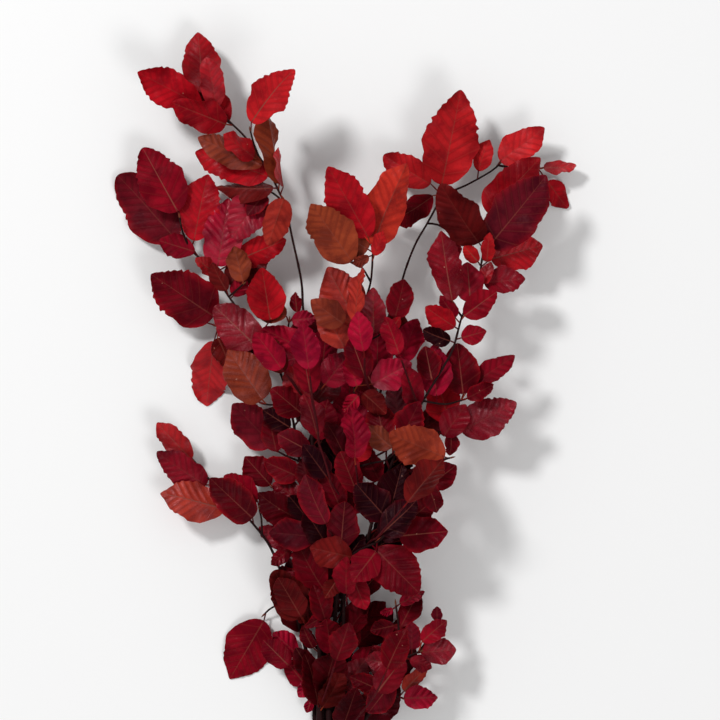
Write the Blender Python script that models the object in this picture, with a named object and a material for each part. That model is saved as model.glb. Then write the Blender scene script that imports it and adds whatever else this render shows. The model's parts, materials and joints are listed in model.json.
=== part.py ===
"""A bunch of eight cut beech branches in dyed red leaf, lying on its back on a flat surface.

Each branch grew as one piece, so wood, twigs, leaf stalks and blades are one solid per branch.
The frame: +Y runs from the cut ends to the tips, +Z is up off the surface, and the origin is the
spot where a leaf is pressed flat under the balance point. All lengths below are in millimetres.
Places in the spread are (x, y, height): x to the right and y down the bunch, from the corner of a
square that frames the leafy part, and height above the surface.
"""
import math
import random

import bmesh
import bpy
from mathutils import Vector
from mathutils.bvhtree import BVHTree

MM = 0.001
ORIGIN_X, ORIGIN_Y = 350.0, 400.0  # the pressed leaf's spot, in the spread's own x and y

BLADE_THICKNESS = 0.9
STALK_HALF_WIDTH = 0.8
STALK_HALF_HEIGHT = 0.7
SHORTEST_STALK = 4.0
STALK_RISE = 0.6
STALK_REACH = 6.0  # a leaf looks for its wood this far behind the base of its blade
SHARPEST_STALK = -0.3  # cosine of the sharpest turn between a stalk and its blade
CLEARANCE = 0.8  # kept all round a blade when it is tried against its neighbours
TRIAL_START = 0.06  # share of its length at which the tried part of a blade begins
WOOD_CLEARANCE = 0.4
PRESSED = 0.1  # what comes this near the surface is pressed flat on it
END_MARGIN = 1.5  # no root lies nearer than this to the end of its twig
SUNK = 0.4  # how far a leaf stalk's root lies past the middle of its twig

BUTT_RADIUS = 4.0
LOWER_ROW, UPPER_ROW = 3.47, 10.75  # heights of the two rows in which the cut ends lie
STEM_TIP_RADIUS = 1.1
TWIG_RADIUS, TWIG_TIP_RADIUS = 1.3, 1.0
TAPER = 2.2  # above 1, wood is thick for a short way only
STEM_SIDES, TWIG_SIDES = 6, 3
STEM_STEP, TWIG_STEP = 30.0, 22.0  # between the rings of a tube

# A blade's outline: at the share u of its length, half its width is
# WIDTH_GAIN * u ** BASE_ROUNDNESS * (1 - u) ** TIP_ROUNDNESS.
WIDTH_GAIN, BASE_ROUNDNESS, TIP_ROUNDNESS = 2.27, 0.52, 0.68
WIDEST = 0.74  # the width of a blade, as a share of its length, at most
NARROWEST_VIEW = 0.35  # how far the width of a blade on edge is worked back from what is seen of it
MARGIN_WAVES = 1.6  # along a blade
MARGIN_SHIFT = 1.9  # of the waves on one margin against the other, in radians
BEND = (-0.25, 0.75)  # radians along a blade
FOLD = (-0.05, 0.38)  # radians, each half up from the flat
WAVE = (0.02, 0.055)  # of a blade's length
LEAN = (-0.22, 0.30)  # rise of a tip, as a share of the length
PRESSED_RISE = 0.2  # how much of a trial's rise a pressed leaf takes

# Where a blade's cross sections lie, as shares of its length.
STATIONS = (0.14, 0.48, 0.82)
SMALL_STATIONS = (0.22, 0.68)
SMALL_LEAF = 46.0  # mm along a leaf, up to which the small set does
LOWEST_REACH = -3.0  # how far below the surface a blade may head before it is turned another way
SEED = 21
LEAF_COLOUR = (0.28, 0.012, 0.02, 1)
LEAF_ROUGHNESS = 0.5

# Trials for a blade that would cross a neighbour: the tip's rise in mm, the roll in degrees and
# the lift of its base in mm.
RISES = (0, -6, 6, -12, 12, -20, 20, -30, 30)
ROLLS = (0, 14, -14, 30, -30, 45, -45)
LIFTS = (0, 5, -5, 9, -9)
LONGEST_TRIAL = 1.5  # how far such a blade may reach, in lengths of the leaf as seen
TRIALS = sorted(((rise, roll, lift) for rise in RISES for roll in ROLLS for lift in LIFTS),
                key=lambda t: abs(t[0]) + 0.6 * abs(t[1]) + 2 * abs(t[2]))

# A leaf is (stalk end x, y, tip x, y, width as seen, turn). Turn 0 shows the upper side, 180 the
# underside, and what lies between stands on edge. Leaves are listed from front to back.
# A twig is (route points x, y; height at its end; leaves), and starts from the nearest wood.
BRANCHES = {
    "centre_tall_branch": {
        "stem": [(328.6, 800, UPPER_ROW), (329, 700, 14), (333, 640, 26), (340, 560, 48), (347, 480, 64),
                 (352, 420, 72), (356, 370, 77), (361, 330, 80), (366, 300, 82), (371, 280, 82),
                 (373, 250, 80)],
        "leaves": [(368, 250, 322, 224, 34, 172), (373, 246, 409, 163, 44, 158),
                   (368, 238, 328, 168, 42, 10), (374, 256, 384, 232, 14, 40),
                   (372, 258, 352, 264, 16, 30), (372, 384, 411, 363, 36, 0),
                   (377, 372, 378, 330, 34, 0), (357, 386, 348, 356, 20, 10),
                   (358, 395, 343, 412, 15, 10), (363, 393, 386, 414, 26, 165),
                   (358, 322, 327, 267, 42, 168), (355, 322, 361, 268, 16, 55),
                   (345, 348, 321, 308, 30, 165), (374, 333, 373, 288, 26, 10),
                   (344, 324, 311, 300, 28, 10), (350, 461, 370, 434, 30, 0),
                   (337, 580, 325, 598, 18, 0), (330, 612, 304, 628, 14, 20),
                   (332, 656, 327, 620, 28, 170)],
        "twigs": [
            ([(371, 282), (362, 268), (354, 264)], 70,
             [(352, 262, 311, 204, 46, 5)]),
            ([(360, 345), (378, 336), (392, 324)], 84,
             [(395, 318, 404, 279, 28, -5), (391, 330, 400, 317, 10, 0)]),
            ([(348, 470), (370, 463), (385, 460), (394, 453)], 84,
             [(392, 447, 368, 425, 26, 165)]),
        ],
    },
    "right_low_branch": {
        "stem": [(337, 800, UPPER_ROW), (339.4, 700, 13), (343, 640, 24), (345, 580, 48),
                 (351, 557, 58), (365, 547, 66), (379, 540, 72), (395, 522, 84), (411, 501, 94),
                 (426, 477, 102), (438, 461, 104), (449, 457, 104)],
        "leaves": [(352, 557, 309, 547, 32, 0), (446, 455, 388, 432, 42, 175),
                   (428, 486, 456, 464, 28, 5),
                   (424, 482, 437, 512, 20, 15), (440, 462, 430, 475, 12, 0),
                   (389, 516, 402, 465, 44, 10), (386, 517, 355, 482, 36, 170),
                   (402, 526, 432, 500, 30, 160), (399, 535, 448, 530, 44, 0),
                   (376, 549, 419, 592, 48, 0), (376, 551, 352, 582, 30, 10),
                   (353, 578, 366, 610, 24, 0), (344, 654, 352, 616, 26, 0), (344, 692, 366, 660, 30, 0)],
        "twigs": [],
    },
    "right_mid_branch": {
        "stem": [(341.2, 800, LOWER_ROW), (345, 700, 4.8), (352, 640, 13), (363, 560, 42),
                 (385, 480, 62), (412, 420, 74), (440, 372, 80), (452, 350, 78), (459, 326, 72),
                 (462, 316, 70), (470, 300, 66), (478, 285, 62), (481, 265, 58), (484, 248, 54)],
        "leaves": [(489, 246, 546, 176, 54, -5), (479, 243, 440, 184, 42, 10),
                   (491, 259, 543, 245, 36, -10), (484, 283, 525, 279, 28, 15),
                   (478, 262, 464, 246, 18, 10), (487, 262, 489, 233, 14, 20),
                   (483, 284, 491, 262, 14, 10), (470, 302, 467, 262, 30, 0),
                   (464, 316, 496, 292, 26, 5), (456, 327, 425, 307, 24, 10),
                   (461, 338, 486, 331, 30, 0), (450, 341, 422, 330, 20, 15),
                   (441, 384, 425, 346, 28, 0), (455, 318, 440, 296, 18, 0), (353, 668, 384, 652, 26, 0)],
        "twigs": [
            ([(484, 250), (487, 232), (487, 218)], 44,
             [(488, 213, 541, 157, 42, 0)]),
            ([(462, 317), (453, 305)], 66,
             [(452, 301, 441, 230, 32, 10)]),
            ([(425, 402), (445, 404), (462, 400)], 66,
             [(463, 394, 457, 343, 38, 5), (470, 386, 515, 356, 22, 25), (467, 398, 494, 384, 18, 10)]),
            ([(402, 440), (430, 434), (450, 430), (458, 428)], 52,
             [(461, 431, 517, 402, 38, 0), (450, 424, 437, 376, 36, 10), (444, 436, 466, 404, 28, 0),
              (450, 432, 450, 456, 16, 20)]),
        ],
    },
    "right_tall_branch": {
        "stem": [(332.8, 800, LOWER_ROW), (334, 700, 4.8), (339, 640, 10), (343, 600, 20),
                 (347, 560, 26), (357, 500, 34), (374, 420, 40), (390, 350, 42), (397, 310, 42),
                 (403, 278, 40), (415, 245, 36), (428, 222, 32), (437, 205, 30), (442, 192, 28)],
        "leaves": [(442, 184, 461, 90, 54, -5), (431, 183, 384, 153, 32, 10),
                   (433, 195, 389, 221, 26, 25), (402, 362, 418, 318, 30, 15)],
        "twigs": [
            ([(442, 192), (465, 185), (492, 170), (500, 163)], 24,
             [(501, 160, 546, 127, 32, 10), (479, 170, 490, 138, 20, 15)]),
            ([(500, 163), (522, 168), (541, 167)], 16,
             [(545, 166, 578, 166, 14, 40), (549, 180, 569, 206, 22, 10, -2)]),
            ([(357, 500), (354, 470), (352, 446)], 1.6,
             [(351, 438, 349, 376, 38, 0, -2)]),
            ([(428, 223), (438, 224), (450, 231)], 28,
             [(452, 234, 459, 257, 11, 40), (448, 226, 443, 218, 8, 0)]),
        ],
    },
    "left_tall_branch": {
        "stem": [(320.2, 800, UPPER_ROW), (319, 700, 14), (319.5, 650, 21), (318, 560, 34), (314, 470, 42),
                 (309, 400, 46), (306, 343, 50), (303, 308, 54), (301, 279, 57), (291, 232, 58),
                 (286, 205, 58), (281, 196, 57), (270, 173, 54), (258, 155, 52), (246, 138, 50),
                 (231, 123, 46), (212, 108, 42)],
        "leaves": [(226, 124, 172, 103, 34, 15), (201, 105, 137, 72, 38, -15),
                   (216, 107, 206, 56, 26, -10), (262, 165, 197, 139, 30, 165),
                   (254, 158, 222, 136, 24, -40), (279, 184, 265, 102, 18, 120, 62),
                   (268, 176, 194, 152, 38, 10), (276, 186, 216, 186, 24, 140),
                   (283, 187, 279, 147, 14, 55), (284, 199, 268, 246, 30, 175),
                   (308, 348, 262, 328, 28, 0), (302, 356, 264, 366, 20, 15),
                   (326, 376, 302, 346, 26, 170), (302, 414, 271, 388, 30, 0),
                   (318, 440, 328, 398, 28, 0), (313, 450, 277, 434, 34, 0),
                   (302, 362, 272, 356, 22, 0), (306, 404, 288, 366, 26, 10),
                   (312, 682, 298, 700, 22, 0), (229, 120, 184, 80, 34, -15),
                   (321, 622, 334, 588, 26, 0), (306, 584, 279, 580, 22, 0),
                   (316, 600, 299, 624, 22, 0), (313, 650, 302, 627, 15, 20)],
        "twigs": [
            ([(231, 123), (213, 112), (208, 98)], 34,
             [(203, 92, 197, 30, 38, 0)]),
            ([(258, 156), (254, 144), (251, 132)], 84,
             [(252, 124, 295, 70, 36, 15)]),
            ([(285, 203), (273, 193), (264, 189)], 46,
             [(262, 192, 232, 238, 40, 0), (266, 191, 247, 216, 30, -20)]),
        ],
    },
    "left_mid_branch": {
        "stem": [(324.4, 800, LOWER_ROW), (322.4, 700, 4.8), (318, 640, 10), (310, 560, 20),
                 (302, 480, 32), (286, 390, 38), (262, 340, 38), (240, 312, 36), (228, 296, 34),
                 (213, 272, 30), (204, 262, 28), (190, 250, 24), (184, 245, 22)],
        "leaves": [(175, 239, 117, 174, 54, 10, -3), (193, 240, 207, 173, 42, 5),
                   (194, 251, 158, 240, 24, 0), (228, 284, 266, 246, 36, 15),
                   (226, 290, 212, 262, 18, 30), (213, 272, 196, 258, 16, -30),
                   (256, 346, 214, 306, 42, 0), (217, 266, 228, 198, 40, 0),
                   (236, 260, 286, 239, 30, 0), (222, 303, 246, 277, 24, 0),
                   (276, 360, 246, 342, 28, 0), (290, 428, 262, 410, 28, 0),
                   (299, 476, 264, 462, 30, 0), (304, 500, 272, 484, 26, 0),
                   (288, 546, 258, 528, 22, 0), (290, 550, 270, 566, 16, 10)],
        "twigs": [
            ([(190, 250), (182, 232), (179, 217)], 36,
             [(177, 211, 141, 146, 46, 0)]),
            ([(229, 296), (243, 284)], 44,
             [(243, 281, 234, 246, 24, 170)]),
            ([(250, 325), (230, 328), (216, 326)], 20,
             [(213, 316, 150, 273, 54, 10), (213, 341, 204, 408, 38, -10, -5),
              (198, 320, 172, 286, 24, 20), (222, 332, 228, 362, 14, 150), (217, 338, 233, 378, 22, 20)]),
            ([(275, 366), (286, 338), (289, 321)], 46,
             [(286, 316, 246, 297, 28, 175), (270, 320, 262, 267, 46, 5), (297, 312, 295, 292, 12, 30),
              (292, 320, 317, 318, 18, 0)]),
            ([(288, 400), (273, 405), (263, 404)], 34,
             [(258, 402, 240, 369, 26, 172), (262, 400, 228, 350, 46, 8)]),
            ([(302, 492), (286, 491), (275, 489)], 20,
             [(270, 486, 244, 457, 28, 0)]),
            ([(298, 462), (285, 456), (274, 450)], 26,
             [(272, 446, 232, 404, 42, 5), (276, 452, 268, 415, 24, 20)]),
        ],
    },
    "left_low_branch": {
        "stem": [(316, 800, LOWER_ROW), (313.5, 700, 5), (306, 655, 11), (292, 605, 20), (280, 572, 26),
                 (268, 545, 28), (251, 523, 28), (232, 503, 26), (209, 481, 20), (193, 462, 16)],
        "leaves": [(190, 460, 156, 424, 26, 10), (252, 519, 210, 479, 38, 0),
                   (224, 510, 160, 493, 38, 165), (205, 486, 155, 452, 32, 10),
                   (296, 604, 281, 567, 30, 10), (297, 657, 272, 634, 24, 170),
                   (288, 668, 262, 641, 26, 0), (305, 688, 284, 662, 22, 10),
                   (311, 702, 306, 716, 10, 0)],
        "twigs": [
            ([(262, 536), (261, 520), (259, 510)], 34,
             [(257, 502, 222, 477, 30, 5)]),
            ([(292, 605), (279, 606), (268, 612), (264, 616)], 8,
             [(263, 623, 228, 683, 46, 0, -3)]),
        ],
    },
    "bottom_right_branch": {
        "stem": [(345.4, 800, UPPER_ROW), (348, 765, 11), (356, 738, 12), (372, 712, 16),
                 (386, 690, 30), (396, 662, 40), (399, 635, 44), (396, 606, 46)],
        "leaves": [(392, 684, 368, 714, 34, 10), (394, 666, 365, 660, 24, 0),
                   (401, 627, 420, 592, 22, 10), (400, 604, 425, 592, 12, 30),
                   (394, 606, 380, 614, 9, 20), (396, 626, 370, 631, 18, 10),
                   (396, 652, 383, 642, 14, 0), (380, 703, 343, 706, 18, 15),
                   (384, 694, 350, 678, 20, 10)],
        "twigs": [
            ([(386, 690), (397, 698), (402, 700)], 26,
             [(404, 700, 438, 699, 24, 0), (404, 693, 428, 669, 16, 160)]),
            ([(396, 662), (410, 656), (420, 652)], 46,
             [(412, 650, 412, 622, 30, 0), (421, 653, 457, 650, 30, 0), (422, 642, 447, 620, 20, 10),
              (410, 660, 432, 669, 18, 20)]),
            ([(420, 652), (430, 637), (436, 625)], 50,
             [(437, 621, 437, 606, 12, 0)]),
        ],
    },
}

# The dense heart of the bunch, as (y, left x, right x), which side twigs of small leaves fill.
HEART = ((308, 322, 392), (332, 264, 440), (352, 254, 446), (400, 264, 458), (450, 258, 448),
         (500, 262, 432), (530, 270, 412), (560, 272, 400), (600, 272, 368), (640, 290, 420),
         (680, 298, 418), (714, 324, 396), (726, 330, 372))
FILLING_ROUNDS = 6
FILLING_TRIALS = 16
COVER_SETBACK = 16.0  # how much farther back a leaf over a stem is rooted
COVER_HEIGHT = 5.0
COVER_ROUNDS = 6
INSIDE_SHARE = 0.86  # of what a filling leaf hides, this much must lie in the heart
FILLING_LEAF_LENGTH = (38.0, 56.0)
FILLING_WIDTH = (0.60, 0.74)  # of the length
FILLING_TURN = 35.0
FILLING_STALK = 7.0
NEAREST_FILL, FARTHEST_FILL = 12.0, 62.0  # from the wood to the middle of such a leaf
BEHIND_SHARE = (0.4, 1.1)  # of that distance, how far down the wood such a leaf is rooted
BEHIND = (6.0, 18.0)  # and this much more
MIDDLE_SHARE = (0.45, 0.6)  # of a leaf's length, which lies before the spot it is to hide
SIDE_TWIG_SLOPE = 0.8
COVER_SLOPE = (0.2, 0.9)
SIDE_TWIG_SWAY = 2.0
STEM_SHARES = (0.0, 0.33, 0.66)  # where a stretch of stem is looked at
SHORTEST_STEP = 3.0  # a twig's route starts at least this far from its root
SHORTEST_TWIG = 7.0
LOWEST_TWIG, HIGHEST_TWIG = 4.0, 130.0
NEAREST_BRANCHES = 5
# Small spots where the surface shows through the heart.
OPEN_SPOTS = ((275, 380), (290, 418), (383, 448), (281, 489), (363, 532), (341, 606), (384, 596),
              (360, 655))
OPEN_RADIUS = 5.0
UNDERSIDE_SHARE = 0.14
CELL = 5.0  # the grain at which it is noted what is hidden already, as seen from above
FRESH_SHARE = 0.15  # of what a filling leaf hides, this much must not be hidden yet
OVER_SHARE = 0.12  # and this much, at most, may lie over large listed leaves
COVER_OVER_SHARE = 0.4  # or this much, where a stem is to be hidden
LARGE_WIDTH = 34.0  # as seen


def clamp(value, low, high):
    return max(low, min(high, value))


def curve_through(points, step):
    """Points about step apart along a smooth curve (Catmull-Rom) through the given ones."""
    ends = [points[0] * 2 - points[1], *points, points[-1] * 2 - points[-2]]
    found = [points[0]]
    for before, start, end, after in zip(ends, ends[1:], ends[2:], ends[3:]):
        count = max(1, round((end - start).length / step))
        for i in range(1, count + 1):
            t = i / count
            square = 2 * before - 5 * start + 4 * end - after
            cube = 3 * start - before - 3 * end + after
            found.append(0.5 * (2 * start + (end - before) * t + square * t * t + cube * t ** 3))
    return found


def cell_of(point):
    return round(point.x / CELL), round(point.y / CELL)


def nearest(points, x, y):
    """The point of a polyline nearest to (x, y) as seen from above, a little short of its end."""
    best, gap = points[0], 1e9
    for i, (start, end) in enumerate(zip(points, points[1:])):
        run = end - start
        flat = run.x ** 2 + run.y ** 2
        last = 1 - END_MARGIN / run.length if i == len(points) - 2 else 1
        t = clamp(((x - start.x) * run.x + (y - start.y) * run.y) / max(flat, 1e-9), 0, last)
        point = start + run * t
        found = math.hypot(point.x - x, point.y - y)
        if found < gap:
            best, gap = point, found
    return best


def tube(path, radius, tip_radius, sides):
    """Points and faces of a closed tapering tube along a path."""
    points, faces = [], []
    across = Vector((1, 0, 0))
    for i, centre in enumerate(path):
        along = (path[min(i + 1, len(path) - 1)] - path[max(i - 1, 0)]).normalized()
        across = (across - along * along.dot(across)).normalized()
        other = along.cross(across)
        here = tip_radius + (radius - tip_radius) * (1 - i / (len(path) - 1)) ** TAPER
        for k in range(sides):
            angle = math.tau * k / sides
            points.append(centre + (across * math.cos(angle) + other * math.sin(angle)) * here)
    for i in range(len(path) - 1):
        for k in range(sides):
            a, b = i * sides + k, i * sides + (k + 1) % sides
            faces.append((a, b, b + sides, a + sides))
    faces.append(tuple(range(sides))[::-1])
    faces.append(tuple(range(len(points) - sides, len(points))))
    return points, faces


class Leaf:
    """One leaf: a stalk from its root in the wood to the blade's base, and a curved, waved blade."""

    def __init__(self, root, base, tip, seen_width, turn, nature):
        chord = tip - base
        self.root, self.base, self.length = root, base, chord.length
        self.along = chord.normalized()
        face = (Vector((0, 0, 1)) - self.along * self.along.z).normalized()
        side = self.along.cross(face)
        roll = math.radians(turn)
        self.up = face * math.cos(roll) + side * math.sin(roll)
        self.side = self.along.cross(self.up)
        real_width = seen_width / max(NARROWEST_VIEW, abs(math.cos(roll)))
        self.half_width = min(real_width, WIDEST * self.length) / 2
        self.bend, self.fold, self.wave, self.phase = nature
        self.stations = SMALL_STATIONS if self.length < SMALL_LEAF else STATIONS

    def half_width_at(self, u):
        u = clamp(u, 0, 1)
        return self.half_width * WIDTH_GAIN * u ** BASE_ROUNDNESS * (1 - u) ** TIP_ROUNDNESS

    def point(self, u, v):
        """The mid surface at u along the midrib and v across it, from -1 to 1, never below the surface."""
        start, turned = 0.5 * self.bend, self.bend
        if abs(turned) > 1e-3:
            forward = (math.sin(start) - math.sin(start - turned * u)) / turned
            lift = (math.cos(start - turned * u) - math.cos(start)) / turned
        else:
            forward, lift = u, 0.0
        width = self.half_width_at(u) * v
        shift = MARGIN_SHIFT if v < 0 else 0
        ripple = self.wave * v * v * math.sin(math.tau * MARGIN_WAVES * u + self.phase + shift)
        rise = abs(width) * math.sin(self.fold) + ripple * min(1, 4 * u, 4 * (1 - u))
        found = (self.base + self.along * (self.length * forward) + self.up * (self.length * lift + rise)
                 + self.side * (width * math.cos(self.fold)))
        found.z = max(found.z, BLADE_THICKNESS / 2)
        return found

    def cells(self):
        """The cells that the blade hides, as seen from above, each with its height there."""
        found = {}
        for i in range(1, 10):
            for j in range(-3, 4):
                point = self.point(i / 10, j / 3.4)
                found[cell_of(point)] = point.z
        return found

    def lowest(self):
        """How far the blade would reach below the surface if nothing pressed it flat."""
        tip = self.base + self.along * self.length
        spread = abs(self.side.z) * self.half_width
        middle = self.base + self.along * (self.length / 2)
        return min(tip.z, middle.z - spread)

    def sheet(self, grow):
        """Left, middle and right points of the mid surface at each station, with its outline grown."""
        rows = []
        for u in self.stations:
            wide = 1 + grow / max(self.half_width_at(u), 1)
            rows.append([self.point(u, v * wide if v else 0) for v in (-1, 0, 1)])
        return rows


def solid_sheet(points, triangles, rim, half_heights):
    """Points and faces of a thin closed solid on both sides of an open sheet.

    The sheet runs out in a point where its half height is 0.
    """
    normals = [Vector() for _ in points]
    for a, b, c in triangles:
        cross = (points[b] - points[a]).cross(points[c] - points[a])
        for i in (a, b, c):
            normals[i] += cross
    rises = [normal.normalized() * height for normal, height in zip(normals, half_heights)]
    found = [point + rise for point, rise in zip(points, rises)]
    under = []
    for i, height in enumerate(half_heights):
        under.append(len(found) if height else i)
        if height:
            found.append(points[i] - rises[i])
    for point in found:
        if point.z < PRESSED:
            point.z = 0.0
    faces = [tuple(t) for t in triangles] + [(under[c], under[b], under[a]) for a, b, c in triangles]
    for a, b in zip(rim, rim[1:] + rim[:1]):
        if under[a] != a:
            faces.append((b, a, under[a]))
        if under[b] != b:
            faces.append((b, under[a], under[b]))
    return found, faces


def blade_squares(left, mid, right):
    """The triangles between one row of three points across a blade and the next."""
    return [(left, mid + 3, left + 3), (left, mid, mid + 3),
            (mid, right + 3, mid + 3), (mid, right, right + 3)]


def leaf_solid(leaf, swell=0.0):
    """The whole leaf as a closed thin solid, its stalk sunk in the wood."""
    rows = leaf.sheet(0)
    turn = (leaf.base - leaf.root).normalized() + leaf.along
    stalk = turn.cross(leaf.up).normalized() * (STALK_HALF_WIDTH + swell)
    points = [leaf.root, leaf.base - stalk, leaf.base + stalk]
    for row in rows:
        points.extend(row)
    points.append(leaf.point(1, 0))
    last = len(points) - 1
    triangles = [(0, 2, 1), (1, 4, 3), (1, 2, 4), (2, 5, 4)]
    for i in range(len(rows) - 1):
        left, mid, right = 3 + 3 * i, 4 + 3 * i, 5 + 3 * i
        triangles += blade_squares(left, mid, right)
    triangles += [(last - 3, last - 2, last), (last - 2, last - 1, last)]
    rim = [0, 2, *range(5, last, 3), last, *range(last - 3, 2, -3), 1]
    heights = [0] + [STALK_HALF_HEIGHT + swell] * 2 + [BLADE_THICKNESS / 2 + swell] * (last - 3) + [0]
    return solid_sheet(points, triangles, rim, heights)


def trial_solid(leaf):
    """The blade alone, swollen by the clearance, for trying it against what is already there."""
    rows = leaf.sheet(CLEARANCE)
    points = [leaf.point(TRIAL_START, 0)]
    for row in rows:
        points.extend(row)
    points.append(leaf.point(1, 0) + leaf.along * CLEARANCE)
    last = len(points) - 1
    triangles = [(0, 2, 1), (0, 3, 2)]
    for i in range(len(rows) - 1):
        left, mid, right = 1 + 3 * i, 2 + 3 * i, 3 + 3 * i
        triangles += blade_squares(left, mid, right)
    triangles += [(last - 3, last - 2, last), (last - 2, last - 1, last)]
    rim = [0, *range(3, last, 3), last, *range(last - 3, 0, -3)]
    return solid_sheet(points, triangles, rim, [BLADE_THICKNESS / 2 + CLEARANCE] * (last + 1))


class Piece:
    """A shape that has its place already, with its box and search tree."""

    def __init__(self, branch, points, faces):
        self.branch = branch
        self.low = Vector([min(p[i] for p in points) for i in range(3)])
        self.high = Vector([max(p[i] for p in points) for i in range(3)])
        self.tree = BVHTree.FromPolygons(points, faces)

    def meets(self, other):
        if any(self.low[i] > other.high[i] or other.low[i] > self.high[i] for i in range(3)):
            return False
        return bool(self.tree.overlap(other.tree))


class Bunch:
    """Places wood and leaves one after the other, each clear of all that has its place."""

    def __init__(self):
        self.draw = random.Random(SEED)
        self.placed = []
        self.solids = {name: [] for name in BRANCHES}
        self.wood = {}
        self.hidden = {}
        self.listed = {}
        self.heart = set()
        self.open = set()
        self.covering = False

    def nature(self, length):
        """A leaf's own bend along, fold across, margin wave and phase."""
        draw = self.draw
        bend, fold = draw.uniform(*BEND), draw.uniform(*FOLD)
        return bend, fold, length * draw.uniform(*WAVE), draw.uniform(0, math.tau)

    def around(self, point, reach):
        """The placed pieces whose boxes come within reach of a point."""
        return [other for other in self.placed
                if all(other.low[i] - reach < point[i] < other.high[i] + reach for i in range(3))]

    def free(self, piece, branch, own_too, others):
        return not any((own_too or other.branch != branch) and piece.meets(other) for other in others)

    def wood_free(self, branch, path):
        swollen = tube(path, TWIG_RADIUS + WOOD_CLEARANCE, TWIG_TIP_RADIUS + WOOD_CLEARANCE, TWIG_SIDES)
        return self.free(Piece(branch, *swollen), branch, False, self.placed)

    def add_wood(self, branch, path, radius, tip_radius, sides):
        solid = tube(path, radius, tip_radius, sides)
        self.solids[branch].append(solid)
        self.placed.append(Piece(branch, *solid))
        self.wood[branch].append(path)

    def add_stem(self, branch):
        self.wood[branch] = []
        route = [Vector(p) for p in BRANCHES[branch]["stem"]]
        self.add_wood(branch, curve_through(route, STEM_STEP), BUTT_RADIUS, STEM_TIP_RADIUS, STEM_SIDES)

    def nearest_wood(self, branch, x, y):
        found = [nearest(path, x, y) for path in self.wood[branch]]
        return min(found, key=lambda p: math.hypot(p.x - x, p.y - y))

    def worth_filling(self, cells):
        """Whether these cells lie in the heart, off its open spots, and enough of them are bare."""
        inside = len(cells.keys() & self.heart)
        fresh = len(cells.keys() - self.hidden.keys())
        share = FRESH_SHARE if not self.covering else 0
        over = sum(1 for cell, height in cells.items() if height > self.listed.get(cell, math.inf))
        most = COVER_OVER_SHARE if self.covering else OVER_SHARE
        if cells.keys() & self.open or over > most * len(cells):
            return False
        return inside > INSIDE_SHARE * len(cells) and fresh >= share * len(cells)

    def add_leaf(self, branch, spec, must):
        base_x, base_y, tip_x, tip_y, seen_width, turn, *pressed_to = spec
        seen = Vector((tip_x - base_x, tip_y - base_y, 0))
        heading = seen.normalized()
        root = self.nearest_wood(branch, base_x - heading.x * STALK_REACH, base_y - heading.y * STALK_REACH)
        base = Vector((base_x, base_y, root.z + STALK_RISE))
        stalk = base - root
        if stalk.length < SHORTEST_STALK or stalk.dot(heading) < SHARPEST_STALK * stalk.length:
            base = root + heading * SHORTEST_STALK
            base.z += STALK_RISE
        root = root - (base - root).normalized() * SUNK
        nature = self.nature(seen.length)
        lean = self.draw.uniform(*LEAN) * seen.length
        others = self.around(base, seen.length * LONGEST_TRIAL + 2 * SHORTEST_STALK)
        if pressed_to and pressed_to[0] < 0:
            nature = (0, 0, 0, 0)
        if not must:
            tip = Vector((tip_x, tip_y, base.z + lean))
            if not self.worth_filling(Leaf(root, base, tip, seen_width, turn, nature).cells()):
                return False
        for rise, roll, lift in TRIALS[:None if must else FILLING_TRIALS]:
            start = base + Vector((0, 0, max(lift, 1 - base.z)))
            tip = Vector((tip_x, tip_y, start.z + lean + rise))
            if pressed_to:
                tip.z = pressed_to[0] + PRESSED_RISE * rise
            leaf = Leaf(root, start, tip, seen_width, turn + roll, nature)
            if leaf.lowest() < LOWEST_REACH and not pressed_to:
                continue
            if self.free(Piece(branch, *trial_solid(leaf)), branch, True, others):
                if self.free(Piece(branch, *leaf_solid(leaf, WOOD_CLEARANCE)), branch, False, self.placed):
                    solid = leaf_solid(leaf)
                    self.solids[branch].append(solid)
                    self.placed.append(Piece(branch, *solid))
                    for cell, height in leaf.cells().items():
                        self.hidden[cell] = max(height, self.hidden.get(cell, 0))
                        if must and seen_width >= LARGE_WIDTH:
                            self.listed[cell] = max(height, self.listed.get(cell, 0))
                    return True
        return False

    def add_twig(self, branch, route, end_height, leaves):
        root = self.nearest_wood(branch, *route[0])
        count = len(route)
        points = [root]
        for i, (x, y) in enumerate(route):
            if math.hypot(x - root.x, y - root.y) > SHORTEST_STEP:
                points.append(Vector((x, y, root.z + (end_height - root.z) * (i + 1) / count)))
        path = curve_through(points, TWIG_STEP)
        if not self.wood_free(branch, path):
            return
        self.add_wood(branch, path, TWIG_RADIUS, TWIG_TIP_RADIUS, TWIG_SIDES)
        for spec in leaves:
            self.add_leaf(branch, spec, True)

    def lay_out_heart(self):
        """Notes the cells of the heart, and those of its open spots."""
        for (top, left_a, right_a), (low, left_b, right_b) in zip(HEART, HEART[1:]):
            for row in range(math.ceil(top / CELL), math.ceil(low / CELL)):
                t = (row * CELL - top) / (low - top)
                left, right = left_a + (left_b - left_a) * t, right_a + (right_b - right_a) * t
                columns = range(math.ceil(left / CELL), int(right / CELL) + 1)
                self.heart.update((column, row) for column in columns)
        reach = math.ceil(OPEN_RADIUS / CELL)
        for x, y in OPEN_SPOTS:
            for i in range(-reach, reach + 1):
                for j in range(-reach, reach + 1):
                    if math.hypot(i, j) * CELL <= OPEN_RADIUS:
                        self.open.add((round(x / CELL) + i, round(y / CELL) + j))

    def bare_cells(self):
        """The cells of the heart that nothing hides yet, in random order, the open spots left out."""
        found = sorted(self.heart - self.hidden.keys() - self.open)
        self.draw.shuffle(found)
        return found

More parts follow.
